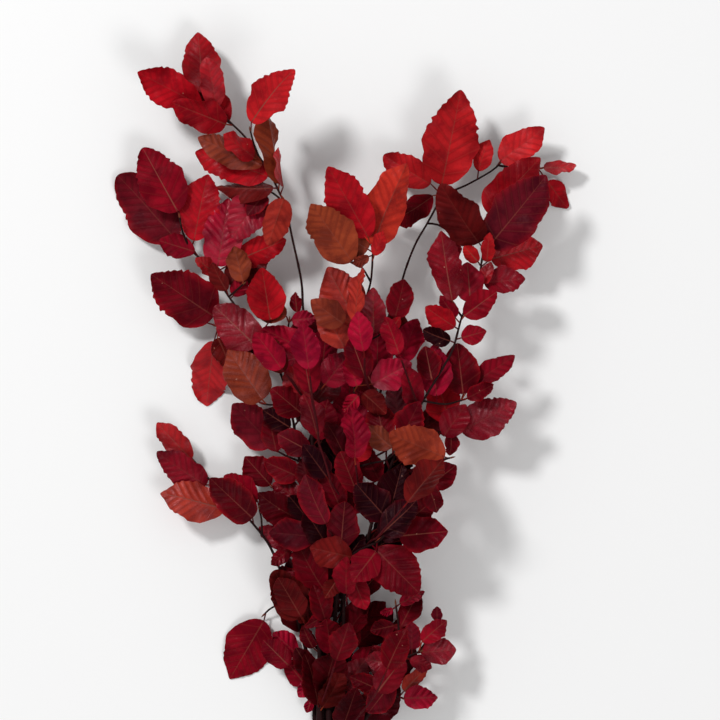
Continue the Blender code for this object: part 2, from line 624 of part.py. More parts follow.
    def grow_towards(self, branch, x, y, above=None):
        """A leaf whose middle lies about (x, y), on a side twig where the wood is some way off.

        Where a height is given, the leaf lies above it.
        """
        draw = self.draw
        near = self.nearest_wood(branch, x, y)
        away = math.hypot(near.x - x, near.y - y)
        if away > FARTHEST_FILL:
            return False
        behind = away * draw.uniform(*BEHIND_SHARE) + draw.uniform(*BEHIND) + (COVER_SETBACK if above else 0)
        root = self.nearest_wood(branch, x, y + behind)
        heading = Vector((x - root.x, y - root.y, 0))
        away = heading.length
        if away < NEAREST_FILL:
            return False
        heading.normalize()
        length = draw.uniform(*FILLING_LEAF_LENGTH)
        reach = away - length * draw.uniform(*MIDDLE_SHARE) - FILLING_STALK
        turn = draw.uniform(-FILLING_TURN, FILLING_TURN) + (180 if draw.random() < UNDERSIDE_SHARE else 0)
        width = length * draw.uniform(*FILLING_WIDTH) * abs(math.cos(math.radians(turn)))
        path = None
        if reach > SHORTEST_TWIG:
            end = root + heading * reach
            slope = draw.uniform(-SIDE_TWIG_SLOPE, SIDE_TWIG_SLOPE)
            end.z = clamp(root.z + slope * reach, LOWEST_TWIG, HIGHEST_TWIG)
            if above:
                end.z = clamp(root.z + draw.uniform(*COVER_SLOPE) * reach, above, HIGHEST_TWIG)
            sway = Vector((draw.uniform(-1, 1), draw.uniform(-1, 1), draw.uniform(0, 1))) * SIDE_TWIG_SWAY
            middle = (root + end) / 2 + sway
            path = curve_through([root, middle, end], TWIG_STEP)
            if not self.wood_free(branch, path):
                return False
            self.wood[branch].append(path)
            root = end
        base = root + heading * FILLING_STALK
        tip = base + heading * length
        done = self.add_leaf(branch, (base.x, base.y, tip.x, tip.y, width, turn), False)
        if path:
            self.wood[branch].pop()
            if done:
                self.add_wood(branch, path, TWIG_RADIUS, TWIG_TIP_RADIUS, TWIG_SIDES)
        return done

    def by_nearness(self, x, y):
        """The few branches whose wood comes nearest to (x, y), the nearest first."""
        spot = Vector((x, y))
        order = sorted(BRANCHES, key=lambda name: (self.nearest_wood(name, x, y).xy - spot).length)
        return order[:NEAREST_BRANCHES]

    def fill_heart(self):
        """Leaves towards the bare cells of the heart, until few are left."""
        self.lay_out_heart()
        for _ in range(FILLING_ROUNDS):
            for column, row in self.bare_cells():
                x, y = column * CELL, row * CELL
                if (column, row) in self.hidden:
                    continue
                for branch in self.by_nearness(x, y):
                    if self.grow_towards(branch, x, y):
                        break

    def cover_stems(self):
        """Leaves above those stretches of the stems that show in the heart."""
        self.covering = True
        stems = [self.wood[name][0] for name in BRANCHES] * COVER_ROUNDS
        for stem in stems:
            shown = [start.lerp(end, t) for start, end in zip(stem, stem[1:]) for t in STEM_SHARES]
            for point in shown:
                cell = cell_of(point)
                if cell not in self.heart or cell in self.open or self.hidden.get(cell, 0) > point.z:
                    continue
                for branch in self.by_nearness(point.x, point.y):
                    if self.grow_towards(branch, point.x, point.y, point.z + COVER_HEIGHT):
                        break

    def grow(self):
        for branch in BRANCHES:
            self.add_stem(branch)
        for branch, parts in BRANCHES.items():
            for spec in parts["leaves"]:
                self.add_leaf(branch, spec, True)
            for route, end_height, leaves in parts["twigs"]:
                self.add_twig(branch, route, end_height, leaves)
        self.fill_heart()
        self.cover_stems()


def to_frame(point):
    return Vector((point.x - ORIGIN_X, ORIGIN_Y - point.y, point.z)) * MM


def new_object(name, points, faces, collection):
    mesh = bpy.data.meshes.new(name)
    mesh.from_pydata([to_frame(p) for p in points], [], faces)
    work = bmesh.new()
    work.from_mesh(mesh)
    bmesh.ops.recalc_face_normals(work, faces=work.faces)
    if work.calc_volume(signed=True) < 0:
        bmesh.ops.reverse_faces(work, faces=work.faces)
    work.to_mesh(mesh)
    work.free()
    made = bpy.data.objects.new(name, mesh)
    collection.objects.link(made)
    return made


def leaf_material():
    material = bpy.data.materials.new("dyed_beech_leaf")
    material.use_nodes = True
    shader = material.node_tree.nodes["Principled BSDF"]
    shader.inputs["Base Color"].default_value = LEAF_COLOUR
    shader.inputs["Roughness"].default_value = LEAF_ROUGHNESS
    return material


def keep_one_shell(mesh):
    """Drops scraps and the walls of sealed hollows, and keeps the branch's own surface."""
    work = bmesh.new()
    work.from_mesh(mesh)
    left = set(work.faces)
    shells = []
    while left:
        shell, edge = [], [left.pop()]
        while edge:
            face = edge.pop()
            shell.append(face)
            for side in face.edges:
                for other in side.link_faces:
                    if other in left:
                        left.remove(other)
                        edge.append(other)
        shells.append(shell)
    shells.sort(key=len)
    for shell in shells[:-1]:
        bmesh.ops.delete(work, geom=shell, context="FACES")
    work.to_mesh(mesh)
    work.free()


def join_branch(name, solids, material):
    """Fuses a branch's stem, twigs and leaves into one closed body."""
    stem = new_object(name, *solids[0], bpy.context.scene.collection)
    stem.data.materials.append(material)
    growth = bpy.data.collections.new(name + "_growth")
    for i, solid in enumerate(solids[1:]):
        new_object(f"{name}_part_{i}", *solid, growth)
    union = stem.modifiers.new("grown_together", "BOOLEAN")
    union.operation = "UNION"
    union.solver = "MANIFOLD"
    union.operand_type = "COLLECTION"
    union.collection = growth
    bpy.context.view_layer.update()
    fused = bpy.data.meshes.new_from_object(stem.evaluated_get(bpy.context.evaluated_depsgraph_get()))
    stem.modifiers.clear()
    stem.data = fused
    keep_one_shell(fused)
    for part in list(growth.objects):
        bpy.data.objects.remove(part)
    bpy.data.collections.remove(growth)


def main():
    for old in list(bpy.data.objects):
        bpy.data.objects.remove(old)
    bunch = Bunch()
    bunch.grow()
    material = leaf_material()
    for name, solids in bunch.solids.items():
        join_branch(name, solids, material)


main()
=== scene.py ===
"""The looks of a bunch of cut beech branches in dyed red leaf, lying on a pale surface.

Every branch of the frame is shown by two finer pieces in the same place and form: its wood, and its
leaves with toothed margins, ribs and stalks. Lengths are in millimetres until to_frame turns them
into the frame's metres. Places in the spread are (x, y, height): x to the right, y down the bunch.
"""
import json
import math
import random
from collections import namedtuple

import bpy
import numpy as np
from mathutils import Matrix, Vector
from mathutils.bvhtree import BVHTree

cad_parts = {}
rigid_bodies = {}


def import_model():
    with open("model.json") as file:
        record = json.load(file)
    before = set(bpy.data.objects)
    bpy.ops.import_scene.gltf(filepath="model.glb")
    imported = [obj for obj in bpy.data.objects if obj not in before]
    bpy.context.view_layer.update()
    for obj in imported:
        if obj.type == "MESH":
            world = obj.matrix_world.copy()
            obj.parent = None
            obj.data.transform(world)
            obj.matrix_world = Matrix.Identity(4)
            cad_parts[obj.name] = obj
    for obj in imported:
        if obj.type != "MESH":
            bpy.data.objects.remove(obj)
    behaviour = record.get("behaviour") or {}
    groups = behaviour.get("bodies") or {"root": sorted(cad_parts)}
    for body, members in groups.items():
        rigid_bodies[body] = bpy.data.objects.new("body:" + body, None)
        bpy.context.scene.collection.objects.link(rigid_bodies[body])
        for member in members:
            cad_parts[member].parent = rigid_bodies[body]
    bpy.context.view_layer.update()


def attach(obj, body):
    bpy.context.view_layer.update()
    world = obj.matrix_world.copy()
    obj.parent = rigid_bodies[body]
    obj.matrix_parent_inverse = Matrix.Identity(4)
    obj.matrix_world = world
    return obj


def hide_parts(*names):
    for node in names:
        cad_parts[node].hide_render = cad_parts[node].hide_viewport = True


MM = 0.001
ORIGIN_X, ORIGIN_Y = 350.0, 400.0  # the pressed leaf's spot, in the spread's own x and y

BLADE_THICKNESS = 0.9
STALK_HALF_WIDTH = 0.8
STALK_HALF_HEIGHT = 0.7
SHORTEST_STALK = 4.0
STALK_RISE = 0.6
STALK_REACH = 6.0  # a leaf looks for its wood this far behind the base of its blade
SHARPEST_STALK = -0.3  # cosine of the sharpest turn between a stalk and its blade
CLEARANCE = 0.8  # kept all round a blade when it is tried against its neighbours
TRIAL_START = 0.06  # share of its length at which the tried part of a blade begins
WOOD_CLEARANCE = 0.4
PRESSED = 0.1  # what comes this near the surface is pressed flat on it
END_MARGIN = 1.5  # no root lies nearer than this to the end of its twig
SUNK = 0.4  # how far a leaf stalk's root lies past the middle of its twig

BUTT_RADIUS = 4.0
LOWER_ROW, UPPER_ROW = 3.47, 10.75  # heights of the two rows in which the cut ends lie
STEM_TIP_RADIUS = 1.1
TWIG_RADIUS, TWIG_TIP_RADIUS = 1.3, 1.0
TAPER = 2.2  # above 1, wood is thick for a short way only
STEM_SIDES, TWIG_SIDES = 6, 3
STEM_STEP, TWIG_STEP = 30.0, 22.0  # between the rings of a tube

# A blade's outline: at the share u of its length, half its width is
# WIDTH_GAIN * u ** BASE_ROUNDNESS * (1 - u) ** TIP_ROUNDNESS.
WIDTH_GAIN, BASE_ROUNDNESS, TIP_ROUNDNESS = 2.27, 0.52, 0.68
WIDEST = 0.74  # the width of a blade, as a share of its length, at most
NARROWEST_VIEW = 0.35  # how far the width of a blade on edge is worked back from what is seen of it
MARGIN_WAVES = 1.6  # along a blade
MARGIN_SHIFT = 1.9  # of the waves on one margin against the other, in radians
BEND = (-0.25, 0.75)  # radians along a blade
FOLD = (-0.05, 0.38)  # radians, each half up from the flat
WAVE = (0.02, 0.055)  # of a blade's length
LEAN = (-0.22, 0.30)  # rise of a tip, as a share of the length
PRESSED_RISE = 0.2  # how much of a trial's rise a pressed leaf takes

# Where a blade's cross sections lie, as shares of its length.
STATIONS = (0.14, 0.48, 0.82)
SMALL_STATIONS = (0.22, 0.68)
SMALL_LEAF = 46.0  # mm along a leaf, up to which the small set does
LOWEST_REACH = -3.0  # how far below the surface a blade may head before it is turned another way
SEED = 21

# Trials for a blade that would cross a neighbour: the tip's rise in mm, the roll in degrees and
# the lift of its base in mm.
RISES = (0, -6, 6, -12, 12, -20, 20, -30, 30)
ROLLS = (0, 14, -14, 30, -30, 45, -45)
LIFTS = (0, 5, -5, 9, -9)
LONGEST_TRIAL = 1.5  # how far such a blade may reach, in lengths of the leaf as seen
TRIALS = sorted(((rise, roll, lift) for rise in RISES for roll in ROLLS for lift in LIFTS),
                key=lambda t: abs(t[0]) + 0.6 * abs(t[1]) + 2 * abs(t[2]))

# A leaf is (stalk end x, y, tip x, y, width as seen, turn). Turn 0 shows the upper side, 180 the
# underside, and what lies between stands on edge. Leaves are listed from front to back.
# A twig is (route points x, y; height at its end; leaves), and starts from the nearest wood.
BRANCHES = {
    "centre_tall_branch": {
        "stem": [(328.6, 800, UPPER_ROW), (329, 700, 14), (333, 640, 26), (340, 560, 48), (347, 480, 64),
                 (352, 420, 72), (356, 370, 77), (361, 330, 80), (366, 300, 82), (371, 280, 82),
                 (373, 250, 80)],
        "leaves": [(368, 250, 322, 224, 34, 172), (373, 246, 409, 163, 44, 158),
                   (368, 238, 328, 168, 42, 10), (374, 256, 384, 232, 14, 40),
                   (372, 258, 352, 264, 16, 30), (372, 384, 411, 363, 36, 0),
                   (377, 372, 378, 330, 34, 0), (357, 386, 348, 356, 20, 10),
                   (358, 395, 343, 412, 15, 10), (363, 393, 386, 414, 26, 165),
                   (358, 322, 327, 267, 42, 168), (355, 322, 361, 268, 16, 55),
                   (345, 348, 321, 308, 30, 165), (374, 333, 373, 288, 26, 10),
                   (344, 324, 311, 300, 28, 10), (350, 461, 370, 434, 30, 0),
                   (337, 580, 325, 598, 18, 0), (330, 612, 304, 628, 14, 20),
                   (332, 656, 327, 620, 28, 170)],
        "twigs": [
            ([(371, 282), (362, 268), (354, 264)], 70,
             [(352, 262, 311, 204, 46, 5)]),
            ([(360, 345), (378, 336), (392, 324)], 84,
             [(395, 318, 404, 279, 28, -5), (391, 330, 400, 317, 10, 0)]),
            ([(348, 470), (370, 463), (385, 460), (394, 453)], 84,
             [(392, 447, 368, 425, 26, 165)]),
        ],
    },
    "right_low_branch": {
        "stem": [(337, 800, UPPER_ROW), (339.4, 700, 13), (343, 640, 24), (345, 580, 48),
                 (351, 557, 58), (365, 547, 66), (379, 540, 72), (395, 522, 84), (411, 501, 94),
                 (426, 477, 102), (438, 461, 104), (449, 457, 104)],
        "leaves": [(352, 557, 309, 547, 32, 0), (446, 455, 388, 432, 42, 175),
                   (428, 486, 456, 464, 28, 5),
                   (424, 482, 437, 512, 20, 15), (440, 462, 430, 475, 12, 0),
                   (389, 516, 402, 465, 44, 10), (386, 517, 355, 482, 36, 170),
                   (402, 526, 432, 500, 30, 160), (399, 535, 448, 530, 44, 0),
                   (376, 549, 419, 592, 48, 0), (376, 551, 352, 582, 30, 10),
                   (353, 578, 366, 610, 24, 0), (344, 654, 352, 616, 26, 0), (344, 692, 366, 660, 30, 0)],
        "twigs": [],
    },
    "right_mid_branch": {
        "stem": [(341.2, 800, LOWER_ROW), (345, 700, 4.8), (352, 640, 13), (363, 560, 42),
                 (385, 480, 62), (412, 420, 74), (440, 372, 80), (452, 350, 78), (459, 326, 72),
                 (462, 316, 70), (470, 300, 66), (478, 285, 62), (481, 265, 58), (484, 248, 54)],
        "leaves": [(489, 246, 546, 176, 54, -5), (479, 243, 440, 184, 42, 10),
                   (491, 259, 543, 245, 36, -10), (484, 283, 525, 279, 28, 15),
                   (478, 262, 464, 246, 18, 10), (487, 262, 489, 233, 14, 20),
                   (483, 284, 491, 262, 14, 10), (470, 302, 467, 262, 30, 0),
                   (464, 316, 496, 292, 26, 5), (456, 327, 425, 307, 24, 10),
                   (461, 338, 486, 331, 30, 0), (450, 341, 422, 330, 20, 15),
                   (441, 384, 425, 346, 28, 0), (455, 318, 440, 296, 18, 0), (353, 668, 384, 652, 26, 0)],
        "twigs": [
            ([(484, 250), (487, 232), (487, 218)], 44,
             [(488, 213, 541, 157, 42, 0)]),
            ([(462, 317), (453, 305)], 66,
             [(452, 301, 441, 230, 32, 10)]),
            ([(425, 402), (445, 404), (462, 400)], 66,
             [(463, 394, 457, 343, 38, 5), (470, 386, 515, 356, 22, 25), (467, 398, 494, 384, 18, 10)]),
            ([(402, 440), (430, 434), (450, 430), (458, 428)], 52,
             [(461, 431, 517, 402, 38, 0), (450, 424, 437, 376, 36, 10), (444, 436, 466, 404, 28, 0),
              (450, 432, 450, 456, 16, 20)]),
        ],
    },
    "right_tall_branch": {
        "stem": [(332.8, 800, LOWER_ROW), (334, 700, 4.8), (339, 640, 10), (343, 600, 20),
                 (347, 560, 26), (357, 500, 34), (374, 420, 40), (390, 350, 42), (397, 310, 42),
                 (403, 278, 40), (415, 245, 36), (428, 222, 32), (437, 205, 30), (442, 192, 28)],
        "leaves": [(442, 184, 461, 90, 54, -5), (431, 183, 384, 153, 32, 10),
                   (433, 195, 389, 221, 26, 25), (402, 362, 418, 318, 30, 15)],
        "twigs": [
            ([(442, 192), (465, 185), (492, 170), (500, 163)], 24,
             [(501, 160, 546, 127, 32, 10), (479, 170, 490, 138, 20, 15)]),
            ([(500, 163), (522, 168), (541, 167)], 16,
             [(545, 166, 578, 166, 14, 40), (549, 180, 569, 206, 22, 10, -2)]),
            ([(357, 500), (354, 470), (352, 446)], 1.6,
             [(351, 438, 349, 376, 38, 0, -2)]),
            ([(428, 223), (438, 224), (450, 231)], 28,
             [(452, 234, 459, 257, 11, 40), (448, 226, 443, 218, 8, 0)]),
        ],
    },
    "left_tall_branch": {
        "stem": [(320.2, 800, UPPER_ROW), (319, 700, 14), (319.5, 650, 21), (318, 560, 34), (314, 470, 42),
                 (309, 400, 46), (306, 343, 50), (303, 308, 54), (301, 279, 57), (291, 232, 58),
                 (286, 205, 58), (281, 196, 57), (270, 173, 54), (258, 155, 52), (246, 138, 50),
                 (231, 123, 46), (212, 108, 42)],
        "leaves": [(226, 124, 172, 103, 34, 15), (201, 105, 137, 72, 38, -15),
                   (216, 107, 206, 56, 26, -10), (262, 165, 197, 139, 30, 165),
                   (254, 158, 222, 136, 24, -40), (279, 184, 265, 102, 18, 120, 62),
                   (268, 176, 194, 152, 38, 10), (276, 186, 216, 186, 24, 140),
                   (283, 187, 279, 147, 14, 55), (284, 199, 268, 246, 30, 175),
                   (308, 348, 262, 328, 28, 0), (302, 356, 264, 366, 20, 15),
                   (326, 376, 302, 346, 26, 170), (302, 414, 271, 388, 30, 0),
                   (318, 440, 328, 398, 28, 0), (313, 450, 277, 434, 34, 0),
                   (302, 362, 272, 356, 22, 0), (306, 404, 288, 366, 26, 10),
                   (312, 682, 298, 700, 22, 0), (229, 120, 184, 80, 34, -15),
                   (321, 622, 334, 588, 26, 0), (306, 584, 279, 580, 22, 0),
                   (316, 600, 299, 624, 22, 0), (313, 650, 302, 627, 15, 20)],
        "twigs": [
            ([(231, 123), (213, 112), (208, 98)], 34,
             [(203, 92, 197, 30, 38, 0)]),
            ([(258, 156), (254, 144), (251, 132)], 84,
             [(252, 124, 295, 70, 36, 15)]),
            ([(285, 203), (273, 193), (264, 189)], 46,
             [(262, 192, 232, 238, 40, 0), (266, 191, 247, 216, 30, -20)]),
        ],
    },
    "left_mid_branch": {
        "stem": [(324.4, 800, LOWER_ROW), (322.4, 700, 4.8), (318, 640, 10), (310, 560, 20),
                 (302, 480, 32), (286, 390, 38), (262, 340, 38), (240, 312, 36), (228, 296, 34),
                 (213, 272, 30), (204, 262, 28), (190, 250, 24), (184, 245, 22)],
        "leaves": [(175, 239, 117, 174, 54, 10, -3), (193, 240, 207, 173, 42, 5),
                   (194, 251, 158, 240, 24, 0), (228, 284, 266, 246, 36, 15),
                   (226, 290, 212, 262, 18, 30), (213, 272, 196, 258, 16, -30),
                   (256, 346, 214, 306, 42, 0), (217, 266, 228, 198, 40, 0),
                   (236, 260, 286, 239, 30, 0), (222, 303, 246, 277, 24, 0),
                   (276, 360, 246, 342, 28, 0), (290, 428, 262, 410, 28, 0),
                   (299, 476, 264, 462, 30, 0), (304, 500, 272, 484, 26, 0),
                   (288, 546, 258, 528, 22, 0), (290, 550, 270, 566, 16, 10)],
        "twigs": [
            ([(190, 250), (182, 232), (179, 217)], 36,
             [(177, 211, 141, 146, 46, 0)]),
            ([(229, 296), (243, 284)], 44,
             [(243, 281, 234, 246, 24, 170)]),
            ([(250, 325), (230, 328), (216, 326)], 20,
             [(213, 316, 150, 273, 54, 10), (213, 341, 204, 408, 38, -10, -5),
              (198, 320, 172, 286, 24, 20), (222, 332, 228, 362, 14, 150), (217, 338, 233, 378, 22, 20)]),
            ([(275, 366), (286, 338), (289, 321)], 46,
             [(286, 316, 246, 297, 28, 175), (270, 320, 262, 267, 46, 5), (297, 312, 295, 292, 12, 30),
              (292, 320, 317, 318, 18, 0)]),
            ([(288, 400), (273, 405), (263, 404)], 34,
             [(258, 402, 240, 369, 26, 172), (262, 400, 228, 350, 46, 8)]),
            ([(302, 492), (286, 491), (275, 489)], 20,
             [(270, 486, 244, 457, 28, 0)]),
            ([(298, 462), (285, 456), (274, 450)], 26,
             [(272, 446, 232, 404, 42, 5), (276, 452, 268, 415, 24, 20)]),
        ],
    },
    "left_low_branch": {
        "stem": [(316, 800, LOWER_ROW), (313.5, 700, 5), (306, 655, 11), (292, 605, 20), (280, 572, 26),
                 (268, 545, 28), (251, 523, 28), (232, 503, 26), (209, 481, 20), (193, 462, 16)],
        "leaves": [(190, 460, 156, 424, 26, 10), (252, 519, 210, 479, 38, 0),
                   (224, 510, 160, 493, 38, 165), (205, 486, 155, 452, 32, 10),
                   (296, 604, 281, 567, 30, 10), (297, 657, 272, 634, 24, 170),
                   (288, 668, 262, 641, 26, 0), (305, 688, 284, 662, 22, 10),
                   (311, 702, 306, 716, 10, 0)],
        "twigs": [
            ([(262, 536), (261, 520), (259, 510)], 34,
             [(257, 502, 222, 477, 30, 5)]),
            ([(292, 605), (279, 606), (268, 612), (264, 616)], 8,
             [(263, 623, 228, 683, 46, 0, -3)]),
        ],
    },
    "bottom_right_branch": {
        "stem": [(345.4, 800, UPPER_ROW), (348, 765, 11), (356, 738, 12), (372, 712, 16),
                 (386, 690, 30), (396, 662, 40), (399, 635, 44), (396, 606, 46)],
        "leaves": [(392, 684, 368, 714, 34, 10), (394, 666, 365, 660, 24, 0),
                   (401, 627, 420, 592, 22, 10), (400, 604, 425, 592, 12, 30),
                   (394, 606, 380, 614, 9, 20), (396, 626, 370, 631, 18, 10),
                   (396, 652, 383, 642, 14, 0), (380, 703, 343, 706, 18, 15),
                   (384, 694, 350, 678, 20, 10)],
        "twigs": [
            ([(386, 690), (397, 698), (402, 700)], 26,
             [(404, 700, 438, 699, 24, 0), (404, 693, 428, 669, 16, 160)]),
            ([(396, 662), (410, 656), (420, 652)], 46,
             [(412, 650, 412, 622, 30, 0), (421, 653, 457, 650, 30, 0), (422, 642, 447, 620, 20, 10),
              (410, 660, 432, 669, 18, 20)]),
            ([(420, 652), (430, 637), (436, 625)], 50,
             [(437, 621, 437, 606, 12, 0)]),
        ],
    },
}

# The dense heart of the bunch, as (y, left x, right x), which side twigs of small leaves fill.
HEART = ((308, 322, 392), (332, 264, 440), (352, 254, 446), (400, 264, 458), (450, 258, 448),
         (500, 262, 432), (530, 270, 412), (560, 272, 400), (600, 272, 368), (640, 290, 420),
         (680, 298, 418), (714, 324, 396), (726, 330, 372))
FILLING_ROUNDS = 6
FILLING_TRIALS = 16
COVER_SETBACK = 16.0  # how much farther back a leaf over a stem is rooted
COVER_HEIGHT = 5.0
COVER_ROUNDS = 6
INSIDE_SHARE = 0.86  # of what a filling leaf hides, this much must lie in the heart
FILLING_LEAF_LENGTH = (38.0, 56.0)
FILLING_WIDTH = (0.60, 0.74)  # of the length
FILLING_TURN = 35.0
FILLING_STALK = 7.0
NEAREST_FILL, FARTHEST_FILL = 12.0, 62.0  # from the wood to the middle of such a leaf
BEHIND_SHARE = (0.4, 1.1)  # of that distance, how far down the wood such a leaf is rooted
BEHIND = (6.0, 18.0)  # and this much more
MIDDLE_SHARE = (0.45, 0.6)  # of a leaf's length, which lies before the spot it is to hide
SIDE_TWIG_SLOPE = 0.8
COVER_SLOPE = (0.2, 0.9)
SIDE_TWIG_SWAY = 2.0
STEM_SHARES = (0.0, 0.33, 0.66)  # where a stretch of stem is looked at
SHORTEST_STEP = 3.0  # a twig's route starts at least this far from its root
SHORTEST_TWIG = 7.0
LOWEST_TWIG, HIGHEST_TWIG = 4.0, 130.0
NEAREST_BRANCHES = 5
# Small spots where the surface shows through the heart.
OPEN_SPOTS = ((275, 380), (290, 418), (383, 448), (281, 489), (363, 532), (341, 606), (384, 596),
              (360, 655))
OPEN_RADIUS = 5.0
UNDERSIDE_SHARE = 0.14
CELL = 5.0  # the grain at which it is noted what is hidden already, as seen from above
FRESH_SHARE = 0.15  # of what a filling leaf hides, this much must not be hidden yet
OVER_SHARE = 0.12  # and this much, at most, may lie over large listed leaves
COVER_OVER_SHARE = 0.4  # or this much, where a stem is to be hidden
LARGE_WIDTH = 34.0  # as seen

# How each listed leaf looks, one letter a leaf, in the order in which BRANCHES lists them.
LOOKS = {
    "centre_tall_branch": "klr" "skm" "mmm" "noo" "ock" "rnd" "c" "kdrk",
    "right_low_branch": "nkd" "ddb" "bdd" "dcc" "dc",
    "right_mid_branch": "pnr" "css" "rcc" "rcb" "dcc" "rcdcdcrcd",
    "right_tall_branch": "ssdm" "sssrmdd",
    "left_tall_branch": "rrr" "ksk" "rns" "omm" "odc" "pmr" "mrb" "cnd" "rsmp",
    "left_mid_branch": "prc" "nns" "cmr" "ccb" "dcc" "c" "ckdscnnkrdmkkdpd",
    "left_low_branch": "sdo" "cdm" "ccm" "cc",
    "bottom_right_branch": "pcd" "mmd" "ddd" "mopcccp",
}
# The dyes by letter, in sRGB: scarlet, red, crimson, magenta, dark crimson, plum, near black,
# brown red, copper, orange and light red, and how deep the ribs of such a leaf are.
DYES = {
    "s": ((178, 27, 32), 0.30), "r": ((166, 16, 27), 0.35), "c": ((128, 9, 27), 0.60),
    "m": ((158, 14, 42), 1.15), "d": ((94, 5, 18), 0.65), "p": ((94, 12, 25), 0.45),
    "b": ((38, 4, 11), 0.50), "n": ((98, 18, 18), 0.60), "k": ((136, 52, 33), 0.70),
    "o": ((164, 48, 37), 0.80), "l": ((198, 50, 40), 0.55),
}
UNDERSIDE_DYE, FAR_DYE = "n", "r"  # of the sides that are turned away from the viewer
STALK_DYES = "nnkd"
RIMMED, RED_RIMMED, RIM_DYE = "pd", "pbd", "r"  # leaves with a bright rim, and with a red one
DULL = "bpdn"  # leaves with less gloss

# The leaves that aren't listed draw their dye from these, up the bunch from FILLING_SPLIT, darker down
# from it, where they show their underside, and in the middle of the heart, where near-black letters are
# painted shade.
HIGH_FILLING, LOW_FILLING, UNDER_FILLING, SHADED_HEART_FILLING = "mmccmcdc", "ddpddncd", "nnccr", "bdpb"
FILLING_SPLIT = 460.0
# Painted shade: the middle of the heart and its radius, in mm, where filling leaves take near-black
# letters.
SHADED_HEART_CENTRE, SHADED_HEART_RADIUS = (354.0, 504.0), 70.0
LOW_LEAF_SHADE, LOW_LEAF_SHADE_HEIGHT = 0.38, 120.0  # painted shade of the filling leaves, darker the lower they lie: their tint on the floor, and the height over which it grows by 1

# The finer blades.
COLUMNS = (0.16, 0.34, 0.52, 0.70, 0.86, 1.0)  # of the half width
INNERMOST = 0.14  # the most for the column at the midrib's edge
BASE_ROWS = (0.006, 0.018)
ROWS_PER_VEIN = 4
VEIN_GAP = 8.0  # along the midrib
FEWEST_VEINS, MOST_VEINS = 5, 9
VEIN_RISE, RISE_START = 0.9, 0.25  # how steeply a vein runs forward to the margin, and from where
VEIN_ROUNDS = 8
RIB_DEPTH, RIB_START = (0.65, 1.15), 0.3
RIB_EASE, TOOTH_EASE = (4, 5), (5, 6)  # how quickly ribs and teeth set in at the base and tip
TOOTH_DEPTH, TOOTH_POWER = (0.02, 0.065), 4
TOOTH_CREST, TOOTH_LEAN, TOOTH_UNEVEN, TOOTH_DRIFT = 0.8, 0.35, 0.7, 2.3
TIP_POINT, TIP_START = (0.05, 0.45), 0.80
TIP_CURL, CURL_START = (-0.5, 0.6), 0.6
RUFFLE, RUFFLE_WAVES = (0.02, 0.08), 11.0
LOBE, LOBE_WAVES, SMALL_LOBE_WAVES = 0.075, 7.0, 16.1
LEAST_HALF_WIDTH = 0.1
SHAPE, FULLNESS = (0.86, 1.18), (0.8, 1.2)  # where a blade is widest, and how far that may change it
FINE_THICKNESS = 0.36
MIDRIB_HALF_WIDTH, MIDRIB_DEPTH, MIDRIB_THINS = 0.8, 0.7, 0.75
SHARP_EDGE = 55.0  # degrees

# The finer wood and stalks.
STALK_RADIUS, STALK_TIP_RADIUS, STALK_SIDES, STALK_STEP = 0.85, 0.6, 7, 2.5
STALK_RUNS_IN, STALK_BELOW, STALK_SAG = 0.05, 0.35, 0.5
STALK_ROUGHNESS = 0.5
FINE_STEP = 5.0
NODE_SWELL, NODE_GAP, NODE_POWER = 0.16, 27.0, 8
WOOD_SHARE = 0.92  # of the thickness that the solids have
BUD_LENGTH, BUD_RADIUS, BUD_SIDES, BUD = (4.5, 7.5), 1.0, 8, (96, 52, 36)
BUD_STATIONS, BUD_SHAPE = (-0.2, 0.0, 0.25, 0.55, 0.8, 1.0), (0.5, 0.8, 1.0, 0.85, 0.45, 0.06)
BARK, SPRAY_BARK, BARK_RANGE = (30, 12, 13), (62, 10, 16), (0.8, 1.3)

# The kinds of wood: a branch's own stem, a listed twig, and a side twig under a filling leaf.
Wood = namedtuple("Wood", "radius tip_radius sides fine_sides bark budded")
STEM = Wood(BUTT_RADIUS, STEM_TIP_RADIUS, STEM_SIDES, 14, BARK, True)
TWIG = Wood(TWIG_RADIUS, TWIG_TIP_RADIUS, TWIG_SIDES, 8, BARK, True)
SPRAY = TWIG._replace(bark=SPRAY_BARK, budded=False)

# How leaves differ from one another.
LOOK_SEED = 23
TINT_RANGE, TINT_SHIFT = (0.82, 1.18), (0.92, 1.08)
MIDRIB_RARITY, VEIN_SHARES = 2.6, (0.1, 0.5)
RIM_SHARE, FAINT_RIM, RIM_START = (0.2, 0.7), (0, 0.15), 0.76
TIP_SHARE = (-0.35, 0.35)
ROUGHNESS, UNDERSIDE_ROUGHER, DULL_GLOSS = (0.22, 0.36), 0.03, 0.6

# The finishes. A noise is (scale, detail, roughness), a bump (strength, distance), and a ramp
# (where it starts, where it ends, its value up to the start, its value from the end on).
VEIN_LINE, VEIN_FADE = (0.012, 0.075, 1.0, 0.0), (0.4, 3.0, 1.0, 0.55)
FURROW_SHADE = (0.0, 0.32, 1.0, 0.0)  # painted shade in the furrow along each vein: starts and ends at a share of the gap between veins, as VEIN_LINE does
MIDRIB_LINE, MIDRIB_TIP_LINE, MIDRIB_EDGE = 0.75, 0.2625, (0.6, 1.25, 1.0, 0.0)
BLOTCH_NOISE, FINE_NOISE, SPECK_NOISE = (34.0, 4.0, 0.6), (900.0, 3.0, 0.6), (260.0, 1.0, 0.4)
NET_SCALE, NET_LINE, NET_SHOWN = 1100.0, (0.0, 0.12, 1.0, 0.0), (0.4, 0.6, 0.05, 0.28)
BLOTCH_DARK, BLOTCH_BRIGHT = (0.47, 0.62, 0.0, 0.65), (0.34, 0.47, 0.65, 0.0)
BLOTCH_TINT, BRIGHT_TINT = (0.34, 0.30, 0.50, 1), (1.38, 1.5, 1.38, 1)
